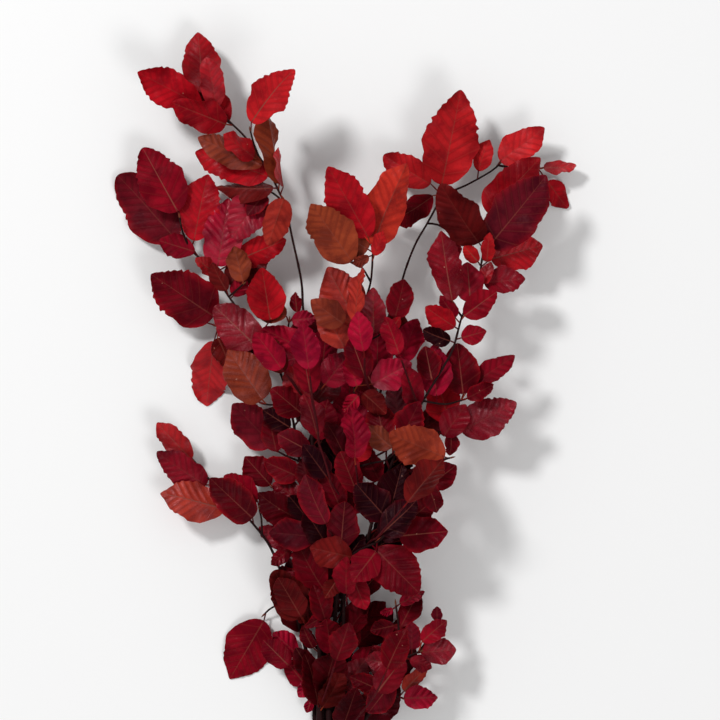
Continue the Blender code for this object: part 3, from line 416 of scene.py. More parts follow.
# Painted shade in the furrows along the veins: the tint there and its share.
FURROW_SHADE_TINT, FURROW_SHADE_SHARE = (0.62, 0.5, 0.6, 1), 0.65
VEIN_COLOUR, VEIN_PALENESS = (0.36, 0.10, 0.06, 1), 0.27
MIDRIB_COLOUR = (0.21, 0.05, 0.035, 1)
SPECK_RANGE, SPECK_COLOUR = (0.80, 0.83, 0.0, 0.75), (0.45, 0.2, 0.14, 1)
GLOSS, SHEEN_TINT = (0.50, 1.0, 0.05, 0.38), (1.0, 0.55, 0.60, 1)
FINE_ROUGHNESS = (0.3, 0.7, -0.08, 0.10)
CRUMPLE_NOISE, CRUMPLE_BUMP = (95.0, 2.0, 0.5), (0.5, 0.0022)
NET_DEPTH, FINE_DEPTH, NET_BUMP, VEIN_BUMP = -0.35, 0.8, (0.35, 0.0003), (0.5, 0.0004)
GRAIN_NOISE, GRAIN_SHOWN, GRAIN_TINT = (260.0, 4.0, 0.65), (0.35, 0.7, 0.0, 0.6), (1.8, 1.5, 1.4, 1)
PORE_NOISE, PORE_SHOWN, PORE_COLOUR = (420.0, 1.0, 0.5), (0.66, 0.72, 0.0, 0.6), (0.05, 0.03, 0.02, 1)
GRAIN_ROUGHNESS, GRAIN_BUMP, BARK_SPECULAR = (0.3, 0.7, 0.55, 0.8), (0.6, 0.0006), 0.08

# The sockets of a colour mix node: its share, its two colours, and its result.
COLOUR_MIX_INPUTS, COLOUR_MIX_RESULT = (0, 6, 7), 2

# The studio.
MIDDLE = (0.010, 0.040, 0.055)  # the middle of the photo's square, at the leaves' height
CAMERA_DISTANCE, FRAME_WIDTH, SENSOR, FAR_CLIP = 5.0, 0.72, 36.0, 50.0
FLOOR_SIZE, FLOOR_HEIGHT = 8.0, -0.0006
FLOOR_COLOUR, FLOOR_ROUGHNESS, FLOOR_SPECULAR = (0.95, 0.95, 0.95, 1), 0.9, 0.1
LIGHTS = (("key", (-2.6, 2.6, 4.2), 1.0, 160.0), ("front", (2.2, -2.8, 5.0), 2.4, 75.0))
WORLD_COLOUR, WORLD_STRENGTH = (1, 1, 1, 1), 0.44


def clamp(value, low, high):
    return max(low, min(high, value))


def curve_through(points, step):
    """Points about step apart along a smooth curve (Catmull-Rom) through the given ones."""
    ends = [points[0] * 2 - points[1], *points, points[-1] * 2 - points[-2]]
    found = [points[0]]
    for before, start, end, after in zip(ends, ends[1:], ends[2:], ends[3:]):
        count = max(1, round((end - start).length / step))
        for i in range(1, count + 1):
            t = i / count
            square = 2 * before - 5 * start + 4 * end - after
            cube = 3 * start - before - 3 * end + after
            found.append(0.5 * (2 * start + (end - before) * t + square * t * t + cube * t ** 3))
    return found


def cell_of(point):
    return round(point.x / CELL), round(point.y / CELL)


def nearest(points, x, y):
    """The point of a polyline nearest to (x, y) as seen from above, a little short of its end."""
    best, gap = points[0], 1e9
    for i, (start, end) in enumerate(zip(points, points[1:])):
        run = end - start
        flat = run.x ** 2 + run.y ** 2
        last = 1 - END_MARGIN / run.length if i == len(points) - 2 else 1
        t = clamp(((x - start.x) * run.x + (y - start.y) * run.y) / max(flat, 1e-9), 0, last)
        point = start + run * t
        found = math.hypot(point.x - x, point.y - y)
        if found < gap:
            best, gap = point, found
    return best


def tube(path, radius, tip_radius, sides):
    """Points and faces of a closed tapering tube along a path."""
    points, faces = [], []
    across = Vector((1, 0, 0))
    for i, centre in enumerate(path):
        along = (path[min(i + 1, len(path) - 1)] - path[max(i - 1, 0)]).normalized()
        across = (across - along * along.dot(across)).normalized()
        other = along.cross(across)
        here = tip_radius + (radius - tip_radius) * (1 - i / (len(path) - 1)) ** TAPER
        for k in range(sides):
            angle = math.tau * k / sides
            points.append(centre + (across * math.cos(angle) + other * math.sin(angle)) * here)
    for i in range(len(path) - 1):
        for k in range(sides):
            a, b = i * sides + k, i * sides + (k + 1) % sides
            faces.append((a, b, b + sides, a + sides))
    faces.append(tuple(range(sides))[::-1])
    faces.append(tuple(range(len(points) - sides, len(points))))
    return points, faces


class Leaf:
    """One leaf: a stalk from its root in the wood to the blade's base, and a curved, waved blade."""

    def __init__(self, root, base, tip, seen_width, turn, nature):
        chord = tip - base
        self.root, self.base, self.length = root, base, chord.length
        self.along = chord.normalized()
        face = (Vector((0, 0, 1)) - self.along * self.along.z).normalized()
        side = self.along.cross(face)
        roll = math.radians(turn)
        self.up = face * math.cos(roll) + side * math.sin(roll)
        self.side = self.along.cross(self.up)
        real_width = seen_width / max(NARROWEST_VIEW, abs(math.cos(roll)))
        self.half_width = min(real_width, WIDEST * self.length) / 2
        self.bend, self.fold, self.wave, self.phase = nature
        self.stations = SMALL_STATIONS if self.length < SMALL_LEAF else STATIONS

    def half_width_at(self, u):
        u = clamp(u, 0, 1)
        return self.half_width * WIDTH_GAIN * u ** BASE_ROUNDNESS * (1 - u) ** TIP_ROUNDNESS

    def point(self, u, v):
        """The mid surface at u along the midrib and v across it, from -1 to 1, never below the surface."""
        start, turned = 0.5 * self.bend, self.bend
        if abs(turned) > 1e-3:
            forward = (math.sin(start) - math.sin(start - turned * u)) / turned
            lift = (math.cos(start - turned * u) - math.cos(start)) / turned
        else:
            forward, lift = u, 0.0
        width = self.half_width_at(u) * v
        shift = MARGIN_SHIFT if v < 0 else 0
        ripple = self.wave * v * v * math.sin(math.tau * MARGIN_WAVES * u + self.phase + shift)
        rise = abs(width) * math.sin(self.fold) + ripple * min(1, 4 * u, 4 * (1 - u))
        found = (self.base + self.along * (self.length * forward) + self.up * (self.length * lift + rise)
                 + self.side * (width * math.cos(self.fold)))
        found.z = max(found.z, BLADE_THICKNESS / 2)
        return found

    def cells(self):
        """The cells that the blade hides, as seen from above, each with its height there."""
        found = {}
        for i in range(1, 10):
            for j in range(-3, 4):
                point = self.point(i / 10, j / 3.4)
                found[cell_of(point)] = point.z
        return found

    def lowest(self):
        """How far the blade would reach below the surface if nothing pressed it flat."""
        tip = self.base + self.along * self.length
        spread = abs(self.side.z) * self.half_width
        middle = self.base + self.along * (self.length / 2)
        return min(tip.z, middle.z - spread)

    def sheet(self, grow):
        """Left, middle and right points of the mid surface at each station, with its outline grown."""
        rows = []
        for u in self.stations:
            wide = 1 + grow / max(self.half_width_at(u), 1)
            rows.append([self.point(u, v * wide if v else 0) for v in (-1, 0, 1)])
        return rows


def solid_sheet(points, triangles, rim, half_heights):
    """Points and faces of a thin closed solid on both sides of an open sheet.

    The sheet runs out in a point where its half height is 0.
    """
    normals = [Vector() for _ in points]
    for a, b, c in triangles:
        cross = (points[b] - points[a]).cross(points[c] - points[a])
        for i in (a, b, c):
            normals[i] += cross
    rises = [normal.normalized() * height for normal, height in zip(normals, half_heights)]
    found = [point + rise for point, rise in zip(points, rises)]
    under = []
    for i, height in enumerate(half_heights):
        under.append(len(found) if height else i)
        if height:
            found.append(points[i] - rises[i])
    for point in found:
        if point.z < PRESSED:
            point.z = 0.0
    faces = [tuple(t) for t in triangles] + [(under[c], under[b], under[a]) for a, b, c in triangles]
    for a, b in zip(rim, rim[1:] + rim[:1]):
        if under[a] != a:
            faces.append((b, a, under[a]))
        if under[b] != b:
            faces.append((b, under[a], under[b]))
    return found, faces


def blade_squares(left, mid, right):
    """The triangles between one row of three points across a blade and the next."""
    return [(left, mid + 3, left + 3), (left, mid, mid + 3),
            (mid, right + 3, mid + 3), (mid, right, right + 3)]


def leaf_solid(leaf, swell=0.0):
    """The whole leaf as a closed thin solid, its stalk sunk in the wood."""
    rows = leaf.sheet(0)
    turn = (leaf.base - leaf.root).normalized() + leaf.along
    stalk = turn.cross(leaf.up).normalized() * (STALK_HALF_WIDTH + swell)
    points = [leaf.root, leaf.base - stalk, leaf.base + stalk]
    for row in rows:
        points.extend(row)
    points.append(leaf.point(1, 0))
    last = len(points) - 1
    triangles = [(0, 2, 1), (1, 4, 3), (1, 2, 4), (2, 5, 4)]
    for i in range(len(rows) - 1):
        left, mid, right = 3 + 3 * i, 4 + 3 * i, 5 + 3 * i
        triangles += blade_squares(left, mid, right)
    triangles += [(last - 3, last - 2, last), (last - 2, last - 1, last)]
    rim = [0, 2, *range(5, last, 3), last, *range(last - 3, 2, -3), 1]
    heights = [0] + [STALK_HALF_HEIGHT + swell] * 2 + [BLADE_THICKNESS / 2 + swell] * (last - 3) + [0]
    return solid_sheet(points, triangles, rim, heights)


def trial_solid(leaf):
    """The blade alone, swollen by the clearance, for trying it against what is already there."""
    rows = leaf.sheet(CLEARANCE)
    points = [leaf.point(TRIAL_START, 0)]
    for row in rows:
        points.extend(row)
    points.append(leaf.point(1, 0) + leaf.along * CLEARANCE)
    last = len(points) - 1
    triangles = [(0, 2, 1), (0, 3, 2)]
    for i in range(len(rows) - 1):
        left, mid, right = 1 + 3 * i, 2 + 3 * i, 3 + 3 * i
        triangles += blade_squares(left, mid, right)
    triangles += [(last - 3, last - 2, last), (last - 2, last - 1, last)]
    rim = [0, *range(3, last, 3), last, *range(last - 3, 0, -3)]
    return solid_sheet(points, triangles, rim, [BLADE_THICKNESS / 2 + CLEARANCE] * (last + 1))


class Piece:
    """A shape that has its place already, with its box and search tree."""

    def __init__(self, branch, points, faces):
        self.branch = branch
        self.low = Vector([min(p[i] for p in points) for i in range(3)])
        self.high = Vector([max(p[i] for p in points) for i in range(3)])
        self.tree = BVHTree.FromPolygons(points, faces)

    def meets(self, other):
        if any(self.low[i] > other.high[i] or other.low[i] > self.high[i] for i in range(3)):
            return False
        return bool(self.tree.overlap(other.tree))


class Bunch:
    """Places wood and leaves one after the other, each clear of all that has its place.

    leaves and routes note what is to be shown of each branch: (leaf, look, turn), where a filling
    leaf has no look yet, and (route, kind of wood).
    """

    def __init__(self):
        self.draw = random.Random(SEED)
        self.placed = []
        self.wood = {}
        self.hidden = {}
        self.listed = {}
        self.heart = set()
        self.open = set()
        self.covering = False
        self.look = None
        self.leaves = {name: [] for name in BRANCHES}
        self.routes = {name: [] for name in BRANCHES}

    def nature(self, length):
        """A leaf's own bend along, fold across, margin wave and phase."""
        draw = self.draw
        bend, fold = draw.uniform(*BEND), draw.uniform(*FOLD)
        return bend, fold, length * draw.uniform(*WAVE), draw.uniform(0, math.tau)

    def around(self, point, reach):
        """The placed pieces whose boxes come within reach of a point."""
        return [other for other in self.placed
                if all(other.low[i] - reach < point[i] < other.high[i] + reach for i in range(3))]

    def free(self, piece, branch, own_too, others):
        return not any((own_too or other.branch != branch) and piece.meets(other) for other in others)

    def wood_free(self, branch, path):
        swollen = tube(path, TWIG_RADIUS + WOOD_CLEARANCE, TWIG_TIP_RADIUS + WOOD_CLEARANCE, TWIG_SIDES)
        return self.free(Piece(branch, *swollen), branch, False, self.placed)

    def add_wood(self, branch, path, route, kind):
        solid = tube(path, kind.radius, kind.tip_radius, kind.sides)
        self.placed.append(Piece(branch, *solid))
        self.wood[branch].append(path)
        self.routes[branch].append((route, kind))

    def add_stem(self, branch):
        self.wood[branch] = []
        route = [Vector(p) for p in BRANCHES[branch]["stem"]]
        self.add_wood(branch, curve_through(route, STEM_STEP), route, STEM)

    def nearest_wood(self, branch, x, y):
        found = [nearest(path, x, y) for path in self.wood[branch]]
        return min(found, key=lambda p: math.hypot(p.x - x, p.y - y))

    def worth_filling(self, cells):
        """Whether these cells lie in the heart, off its open spots, and enough of them are bare."""
        inside = len(cells.keys() & self.heart)
        fresh = len(cells.keys() - self.hidden.keys())
        share = FRESH_SHARE if not self.covering else 0
        over = sum(1 for cell, height in cells.items() if height > self.listed.get(cell, math.inf))
        most = COVER_OVER_SHARE if self.covering else OVER_SHARE
        if cells.keys() & self.open or over > most * len(cells):
            return False
        return inside > INSIDE_SHARE * len(cells) and fresh >= share * len(cells)

    def add_leaf(self, branch, spec, must):
        base_x, base_y, tip_x, tip_y, seen_width, turn, *pressed_to = spec
        seen = Vector((tip_x - base_x, tip_y - base_y, 0))
        heading = seen.normalized()
        root = self.nearest_wood(branch, base_x - heading.x * STALK_REACH, base_y - heading.y * STALK_REACH)
        base = Vector((base_x, base_y, root.z + STALK_RISE))
        stalk = base - root
        if stalk.length < SHORTEST_STALK or stalk.dot(heading) < SHARPEST_STALK * stalk.length:
            base = root + heading * SHORTEST_STALK
            base.z += STALK_RISE
        root = root - (base - root).normalized() * SUNK
        nature = self.nature(seen.length)
        lean = self.draw.uniform(*LEAN) * seen.length
        others = self.around(base, seen.length * LONGEST_TRIAL + 2 * SHORTEST_STALK)
        if pressed_to and pressed_to[0] < 0:
            nature = (0, 0, 0, 0)
        if not must:
            tip = Vector((tip_x, tip_y, base.z + lean))
            if not self.worth_filling(Leaf(root, base, tip, seen_width, turn, nature).cells()):
                return False
        for rise, roll, lift in TRIALS[:None if must else FILLING_TRIALS]:
            start = base + Vector((0, 0, max(lift, 1 - base.z)))
            tip = Vector((tip_x, tip_y, start.z + lean + rise))
            if pressed_to:
                tip.z = pressed_to[0] + PRESSED_RISE * rise
            leaf = Leaf(root, start, tip, seen_width, turn + roll, nature)
            if leaf.lowest() < LOWEST_REACH and not pressed_to:
                continue
            if self.free(Piece(branch, *trial_solid(leaf)), branch, True, others):
                if self.free(Piece(branch, *leaf_solid(leaf, WOOD_CLEARANCE)), branch, False, self.placed):
                    solid = leaf_solid(leaf)
                    self.placed.append(Piece(branch, *solid))
                    self.leaves[branch].append((leaf, self.look, turn + roll))
                    for cell, height in leaf.cells().items():
                        self.hidden[cell] = max(height, self.hidden.get(cell, 0))
                        if must and seen_width >= LARGE_WIDTH:
                            self.listed[cell] = max(height, self.listed.get(cell, 0))
                    return True
        return False

    def add_twig(self, branch, route, end_height, leaves, looks):
        root = self.nearest_wood(branch, *route[0])
        count = len(route)
        points = [root]
        for i, (x, y) in enumerate(route):
            if math.hypot(x - root.x, y - root.y) > SHORTEST_STEP:
                points.append(Vector((x, y, root.z + (end_height - root.z) * (i + 1) / count)))
        path = curve_through(points, TWIG_STEP)
        if not self.wood_free(branch, path):
            return
        self.add_wood(branch, path, points, TWIG)
        for spec, self.look in zip(leaves, looks):
            self.add_leaf(branch, spec, True)

    def lay_out_heart(self):
        """Notes the cells of the heart, and those of its open spots."""
        for (top, left_a, right_a), (low, left_b, right_b) in zip(HEART, HEART[1:]):
            for row in range(math.ceil(top / CELL), math.ceil(low / CELL)):
                t = (row * CELL - top) / (low - top)
                left, right = left_a + (left_b - left_a) * t, right_a + (right_b - right_a) * t
                columns = range(math.ceil(left / CELL), int(right / CELL) + 1)
                self.heart.update((column, row) for column in columns)
        reach = math.ceil(OPEN_RADIUS / CELL)
        for x, y in OPEN_SPOTS:
            for i in range(-reach, reach + 1):
                for j in range(-reach, reach + 1):
                    if math.hypot(i, j) * CELL <= OPEN_RADIUS:
                        self.open.add((round(x / CELL) + i, round(y / CELL) + j))

    def bare_cells(self):
        """The cells of the heart that nothing hides yet, in random order, the open spots left out."""
        found = sorted(self.heart - self.hidden.keys() - self.open)
        self.draw.shuffle(found)
        return found

    def grow_towards(self, branch, x, y, above=None):
        """A leaf whose middle lies about (x, y), on a side twig where the wood is some way off.

        Where a height is given, the leaf lies above it.
        """
        draw = self.draw
        near = self.nearest_wood(branch, x, y)
        away = math.hypot(near.x - x, near.y - y)
        if away > FARTHEST_FILL:
            return False
        behind = away * draw.uniform(*BEHIND_SHARE) + draw.uniform(*BEHIND)
        if above:
            behind += COVER_SETBACK
        root = self.nearest_wood(branch, x, y + behind)
        heading = Vector((x - root.x, y - root.y, 0))
        away = heading.length
        if away < NEAREST_FILL:
            return False
        heading.normalize()
        length = draw.uniform(*FILLING_LEAF_LENGTH)
        reach = away - length * draw.uniform(*MIDDLE_SHARE) - FILLING_STALK
        turn = draw.uniform(-FILLING_TURN, FILLING_TURN) + (180 if draw.random() < UNDERSIDE_SHARE else 0)
        width = length * draw.uniform(*FILLING_WIDTH) * abs(math.cos(math.radians(turn)))
        path = None
        if reach > SHORTEST_TWIG:
            end = root + heading * reach
            slope = draw.uniform(-SIDE_TWIG_SLOPE, SIDE_TWIG_SLOPE)
            end.z = clamp(root.z + slope * reach, LOWEST_TWIG, HIGHEST_TWIG)
            if above:
                end.z = clamp(root.z + draw.uniform(*COVER_SLOPE) * reach, above, HIGHEST_TWIG)
            sway = Vector((draw.uniform(-1, 1), draw.uniform(-1, 1), draw.uniform(0, 1))) * SIDE_TWIG_SWAY
            route = [root, (root + end) / 2 + sway, end]
            path = curve_through(route, TWIG_STEP)
            if not self.wood_free(branch, path):
                return False
            self.wood[branch].append(path)
            root = end
        base = root + heading * FILLING_STALK
        tip = base + heading * length
        done = self.add_leaf(branch, (base.x, base.y, tip.x, tip.y, width, turn), False)
        if path:
            self.wood[branch].pop()
            if done:
                self.add_wood(branch, path, route, SPRAY)
        return done

    def by_nearness(self, x, y):
        """The few branches whose wood comes nearest to (x, y), the nearest first."""
        spot = Vector((x, y))
        order = sorted(BRANCHES, key=lambda name: (self.nearest_wood(name, x, y).xy - spot).length)
        return order[:NEAREST_BRANCHES]

    def fill_heart(self):
        """Leaves towards the bare cells of the heart, until few are left."""
        self.lay_out_heart()
        for _ in range(FILLING_ROUNDS):
            for column, row in self.bare_cells():
                x, y = column * CELL, row * CELL
                if (column, row) in self.hidden:
                    continue
                for branch in self.by_nearness(x, y):
                    if self.grow_towards(branch, x, y):
                        break

    def cover_stems(self):
        """Leaves above those stretches of the stems that show in the heart."""
        self.covering = True
        stems = [self.wood[name][0] for name in BRANCHES] * COVER_ROUNDS
        for stem in stems:
            shown = [start.lerp(end, t) for start, end in zip(stem, stem[1:]) for t in STEM_SHARES]
            for point in shown:
                cell = cell_of(point)
                if cell not in self.heart or cell in self.open or self.hidden.get(cell, 0) > point.z:
                    continue
                for branch in self.by_nearness(point.x, point.y):
                    if self.grow_towards(branch, point.x, point.y, point.z + COVER_HEIGHT):
                        break

    def grow(self):
        for branch in BRANCHES:
            self.add_stem(branch)
        for branch, parts in BRANCHES.items():
            looks = LOOKS[branch]
            for spec, self.look in zip(parts["leaves"], looks):
                self.add_leaf(branch, spec, True)
            looks = looks[len(parts["leaves"]):]
            for route, end_height, leaves in parts["twigs"]:
                self.add_twig(branch, route, end_height, leaves, looks)
                looks = looks[len(leaves):]
        self.look = None
        self.fill_heart()
        self.cover_stems()


def to_frame(point):
    return Vector((point.x - ORIGIN_X, ORIGIN_Y - point.y, point.z)) * MM


def linear(colour):
    """An sRGB colour of 0 to 255 as linear light."""
    shares = [c / 255 for c in colour]
    return np.array([c / 12.92 if c < 0.04045 else ((c + 0.055) / 1.055) ** 2.4 for c in shares])


class Mesh:
    """Points, faces and what the leaf material reads, gathered for one piece."""

    def __init__(self):
        self.points, self.faces, self.places, self.tints, self.natures = [], [], [], [], []

    def add(self, points, faces, places, tints, nature=(0, 0, 0)):
        first = len(self.points)
        self.points.extend(points)
        self.faces.extend(tuple(first + i for i in face) for face in faces)
        self.places.extend(places)
        self.tints.extend(tints)
        self.natures.extend([nature] * len(points))

    def build(self, name, material):
        mesh = bpy.data.meshes.new(name)
        mesh.from_pydata([to_frame(p) for p in self.points], [], self.faces)
        for key, kind, field, values in (("place", "FLOAT_VECTOR", "vector", self.places),
                                         ("nature", "FLOAT_VECTOR", "vector", self.natures),
                                         ("tint", "FLOAT_COLOR", "color", self.tints)):
            attribute = mesh.attributes.new(key, kind, "POINT")
            attribute.data.foreach_set(field, np.array(values, np.float32).ravel())
        mesh.shade_smooth()
        mesh.set_sharp_from_angle(angle=math.radians(SHARP_EDGE))
        mesh.materials.append(material)
        return link_object(name, mesh)


def link_object(name, data):
    made = bpy.data.objects.new(name, data)
    bpy.context.scene.collection.objects.link(made)
    return made


def runs_along(path):
    """How far along a path each of its points lies."""
    run, found = 0.0, []
    for i, point in enumerate(path):
        run += (point - path[i - 1]).length if i else 0.0
        found.append(run)
    return found


def add_tube(mesh, path, radii, sides, tint):
    """Adds a closed round tube with its own radius at each point of the path.

    Its place is (length along it, angle round it, -1).
    """
    points, faces = tube(path, 1.0, 1.0, sides)
    for i, centre in enumerate(path):
        for j in range(i * sides, (i + 1) * sides):
            points[j] = centre + (points[j] - centre) * radii[i]
            points[j].z = max(points[j].z, 0.0)
    places = [(run, k / sides, -1.0) for run in runs_along(path) for k in range(sides)]
    mesh.add(points, faces, places, [tint] * len(points))


def columns_of(half_width):
    """Shares of the half width at which a blade has points, closer together at the midrib."""
    inner = min(INNERMOST, MIDRIB_HALF_WIDTH / max(half_width, 1))
    side = [inner, *COLUMNS]
    return [-v for v in reversed(side)] + [0.0] + side


def vein_reach(leaf, s, across):
    """How far along the leaf a straight vein has come at this share of the half width."""
    rise = VEIN_RISE * min(1, s / RISE_START) * across / leaf.length
    u = s
    for _ in range(VEIN_ROUNDS):
        u = (u + s + rise * leaf.half_width_at(u)) / 2
    return min(u, 1)


def eased(s, ease):
    """A share that is 0 at the base and at the tip, and 1 between them."""
    return min(1, ease[0] * s, ease[1] * (1 - s))


def blade_points(leaf, veins, ribbing, draw):
    """Rows of points of the mid surface, with each row's share along the leaf and each column's across."""
    count = veins * ROWS_PER_VEIN
    rows = [*BASE_ROWS, *(i / count for i in range(1, count))]
    columns = columns_of(leaf.half_width)
    depth = ribbing * draw.uniform(*RIB_DEPTH)
    teeth = draw.uniform(*TOOTH_DEPTH)
    curl = draw.uniform(*TIP_CURL)
    ruffle = leaf.length * draw.uniform(*RUFFLE)
    phases = [draw.uniform(0, math.tau) for _ in range(6)]  # three a side
    shape = draw.uniform(*SHAPE)
    pointed = draw.uniform(*TIP_POINT)
    grid = np.empty((len(rows), len(columns), 3))
    reach = np.empty((len(rows), len(columns)))
    for i, s in enumerate(rows):
        phase = math.tau * (s * veins)
        tooth = teeth * (TOOTH_CREST * math.cos(phase) + TOOTH_LEAN * math.sin(phase))
        tooth *= eased(s, TOOTH_EASE)
        rib_share = eased(s, RIB_EASE)
        for j, v in enumerate(columns):
            across = abs(v)
            u = vein_reach(leaf, s, across)
            side = 3 if v < 0 else 0
            uneven = 1 + TOOTH_UNEVEN * math.sin(TOOTH_DRIFT * s * veins + phases[side])
            lobe = LOBE * math.sin(LOBE_WAVES * u + phases[side])
            lobe += LOBE / 2 * math.sin(SMALL_LOBE_WAVES * u + phases[side + 1])
            fuller = leaf.half_width_at(u ** shape) / max(leaf.half_width_at(u), LEAST_HALF_WIDTH)
            margin = 1 + tooth * uneven * across ** TOOTH_POWER + lobe * across * across
            wide = clamp(fuller, *FULLNESS) * margin
            wide *= 1 - pointed * clamp((u - TIP_START) / (1 - TIP_START), 0, 1)
            point = leaf.point(u, v * wide)
            hill = -math.cos(phase) * depth * min(1, across / RIB_START) * rib_share
            sway = ruffle * across ** 2 * math.sin(RUFFLE_WAVES * u + phases[side + 2]) * rib_share
            point += leaf.up * (hill + sway + curl * max(0, u - CURL_START) ** 2 * leaf.length)
            point.z = max(point.z, BLADE_THICKNESS / 2)
            grid[i, j] = point
            reach[i, j] = leaf.half_width_at(u) * v
    return rows, columns, grid, reach


def tint_of(look, draw):
    """The colour of one side of a blade."""
    colour = linear(DYES[look][0]) * draw.uniform(*TINT_RANGE)
    return colour * np.array([draw.uniform(*TINT_SHIFT) for _ in range(3)])


def side_tints(look, shown_under, depth, rows, columns, draw):
    """RGBA at each point of the upper side and of the underside; A is the roughness."""
    # depth is painted shade: it darkens both sides and the rim of a leaf that lies low in the bunch.
    upper = tint_of(FAR_DYE if shown_under else look, draw) * depth
    under = tint_of(look if shown_under else UNDERSIDE_DYE, draw) * depth
    rim = linear(DYES[RIM_DYE if look in RED_RIMMED else look][0]) * depth
    rim_share = draw.uniform(*(RIM_SHARE if look in RIMMED else FAINT_RIM)) * depth
    tip_share = draw.uniform(*TIP_SHARE)
    shine = draw.uniform(*ROUGHNESS)
    made = []
    for colour, rough in ((upper, shine), (under, shine + UNDERSIDE_ROUGHER)):
        side = np.empty((len(rows), len(columns), 4))
        for i, s in enumerate(rows):
            for j, v in enumerate(columns):
                edge = clamp((abs(v) - RIM_START) / (1 - RIM_START), 0, 1) * rim_share
                side[i, j, :3] = colour * (1 - edge) + rim * edge
                side[i, j, :3] *= 1 + tip_share * (s - 0.5)
                side[i, j, 3] = rough
        made.append(side)
    return made


def shell_faces(rows, wide):
    """The faces of a closed shell: two grids of rows by wide points, then its base and tip."""
    count, last = rows * wide, (rows - 1) * wide
    base, tip = 2 * count, 2 * count + 1
    faces = []
    for i in range(rows - 1):
        for a in range(i * wide, i * wide + wide - 1):
            faces.append((a, a + 1, a + wide + 1, a + wide))
            faces.append((count + a, count + a + wide, count + a + wide + 1, count + a + 1))
        for a, turn in ((i * wide, 1), (i * wide + wide - 1, -1)):
            faces.append((a, a + wide, a + wide + count, a + count)[::turn])
    for j in range(wide - 1):
        faces.append((base, j + 1, j))
        faces.append((base, count + j, count + j + 1))
        faces.append((tip, last + j, last + j + 1))
        faces.append((tip, count + last + j + 1, count + last + j))
    faces.append((base, 0, count))
    faces.append((base, count + wide - 1, wide - 1))
    faces.append((tip, count + last, last))
    faces.append((tip, last + wide - 1, count + last + wide - 1))
    return faces


def add_blade(mesh, leaf, look, shown_under, depth, draw):
    """Adds one blade as a thin closed shell with its midrib raised below."""
    veins = int(clamp(round(leaf.length / VEIN_GAP), FEWEST_VEINS, MOST_VEINS))
    rows, columns, grid, reach = blade_points(leaf, veins, DYES[look][1], draw)
    along = np.gradient(grid, axis=0)
    across = np.gradient(grid, axis=1)
    normal = np.cross(across, along)
    normal /= np.maximum(np.linalg.norm(normal, axis=2, keepdims=True), 1e-9)
    if np.dot(normal.mean(axis=(0, 1)), np.array(leaf.up)) < 0:
        normal = -normal
    half = np.full(reach.shape, FINE_THICKNESS / 2)
    middle = np.exp(-(reach / MIDRIB_HALF_WIDTH) ** 2) * MIDRIB_DEPTH
    middle *= (1 - MIDRIB_THINS * np.array(rows))[:, None]
    top = grid + normal * half[:, :, None]
    below = grid - normal * (half + middle)[:, :, None]
    below[:, :, 2] = np.maximum(below[:, :, 2], 0.0)
    wide = len(columns)
    last_lift = grid[-1, wide // 2] - np.array(leaf.point(rows[-1], 0))
    base, tip = leaf.point(0, 0), leaf.point(1, 0) + Vector(last_lift)
    points = [*map(Vector, top.reshape(-1, 3)), *map(Vector, below.reshape(-1, 3)), base, tip]
    phases = np.array(rows) * veins
    places = [(phases[i], reach[i, j], rows[i]) for i in range(len(rows)) for j in range(wide)]
    places = places * 2 + [(0.0, 0.0, 0.0), (float(veins), 0.0, 1.0)]
    upper, under = side_tints(look, shown_under, depth, rows, columns, draw)
    tints = [*upper.reshape(-1, 4), *under.reshape(-1, 4), upper[0, wide // 2], upper[-1, wide // 2]]
    gloss = draw.random() * (DULL_GLOSS if look in DULL else 1)
    midrib_shown, veins_shown = draw.random() ** MIDRIB_RARITY, draw.uniform(*VEIN_SHARES)
    # depth, the painted shade, also fades the shown midrib and veins.
    nature = (max(midrib_shown, veins_shown) * depth, veins_shown * depth, gloss)
    mesh.add(points, shell_faces(len(rows), wide), places, tints, nature)


def add_stalk(mesh, leaf, draw):
    """Adds a leaf's round stalk, from the wood into its midrib."""
    first = leaf.point(STALK_RUNS_IN, 0) - leaf.up * STALK_BELOW
    start = leaf.base - leaf.up * (STALK_BELOW / 2)
    sag = Vector((0, 0, -draw.uniform(0, STALK_SAG)))
    middle = (leaf.root + start) / 2 + sag
    path = curve_through([leaf.root, middle, start, first], STALK_STEP)
    last = len(path) - 1
    radii = [STALK_RADIUS - (STALK_RADIUS - STALK_TIP_RADIUS) * i / last for i in range(last + 1)]
    tint = (*tint_of(draw.choice(STALK_DYES), draw), STALK_ROUGHNESS)
    add_tube(mesh, path, radii, STALK_SIDES, tint)


def add_bark(mesh, path, kind, draw):
    """Adds a stem or twig that swells a little at its nodes."""
    count = len(path) - 1
    shift = draw.uniform(0, math.tau)
    radii = []
    for i, run in enumerate(runs_along(path)):
        swell = 1 + NODE_SWELL * max(0, math.cos(run / NODE_GAP * math.tau + shift)) ** NODE_POWER
        radius = kind.tip_radius + (kind.radius - kind.tip_radius) * (1 - i / count) ** TAPER
        radii.append(radius * swell * WOOD_SHARE)
    colour = linear(kind.bark) * draw.uniform(*BARK_RANGE)
    add_tube(mesh, path, radii, kind.fine_sides, (*colour, 1))


def add_bud(mesh, path, draw):
    """Adds a slender pointed bud at the end of a twig."""
    heading = (path[-1] - path[-2]).normalized()
    length = draw.uniform(*BUD_LENGTH)
    spine = [path[-1] + heading * (length * t) for t in BUD_STATIONS]
    add_tube(mesh, spine, [BUD_RADIUS * r for r in BUD_SHAPE], BUD_SIDES, (*linear(BUD), 1))


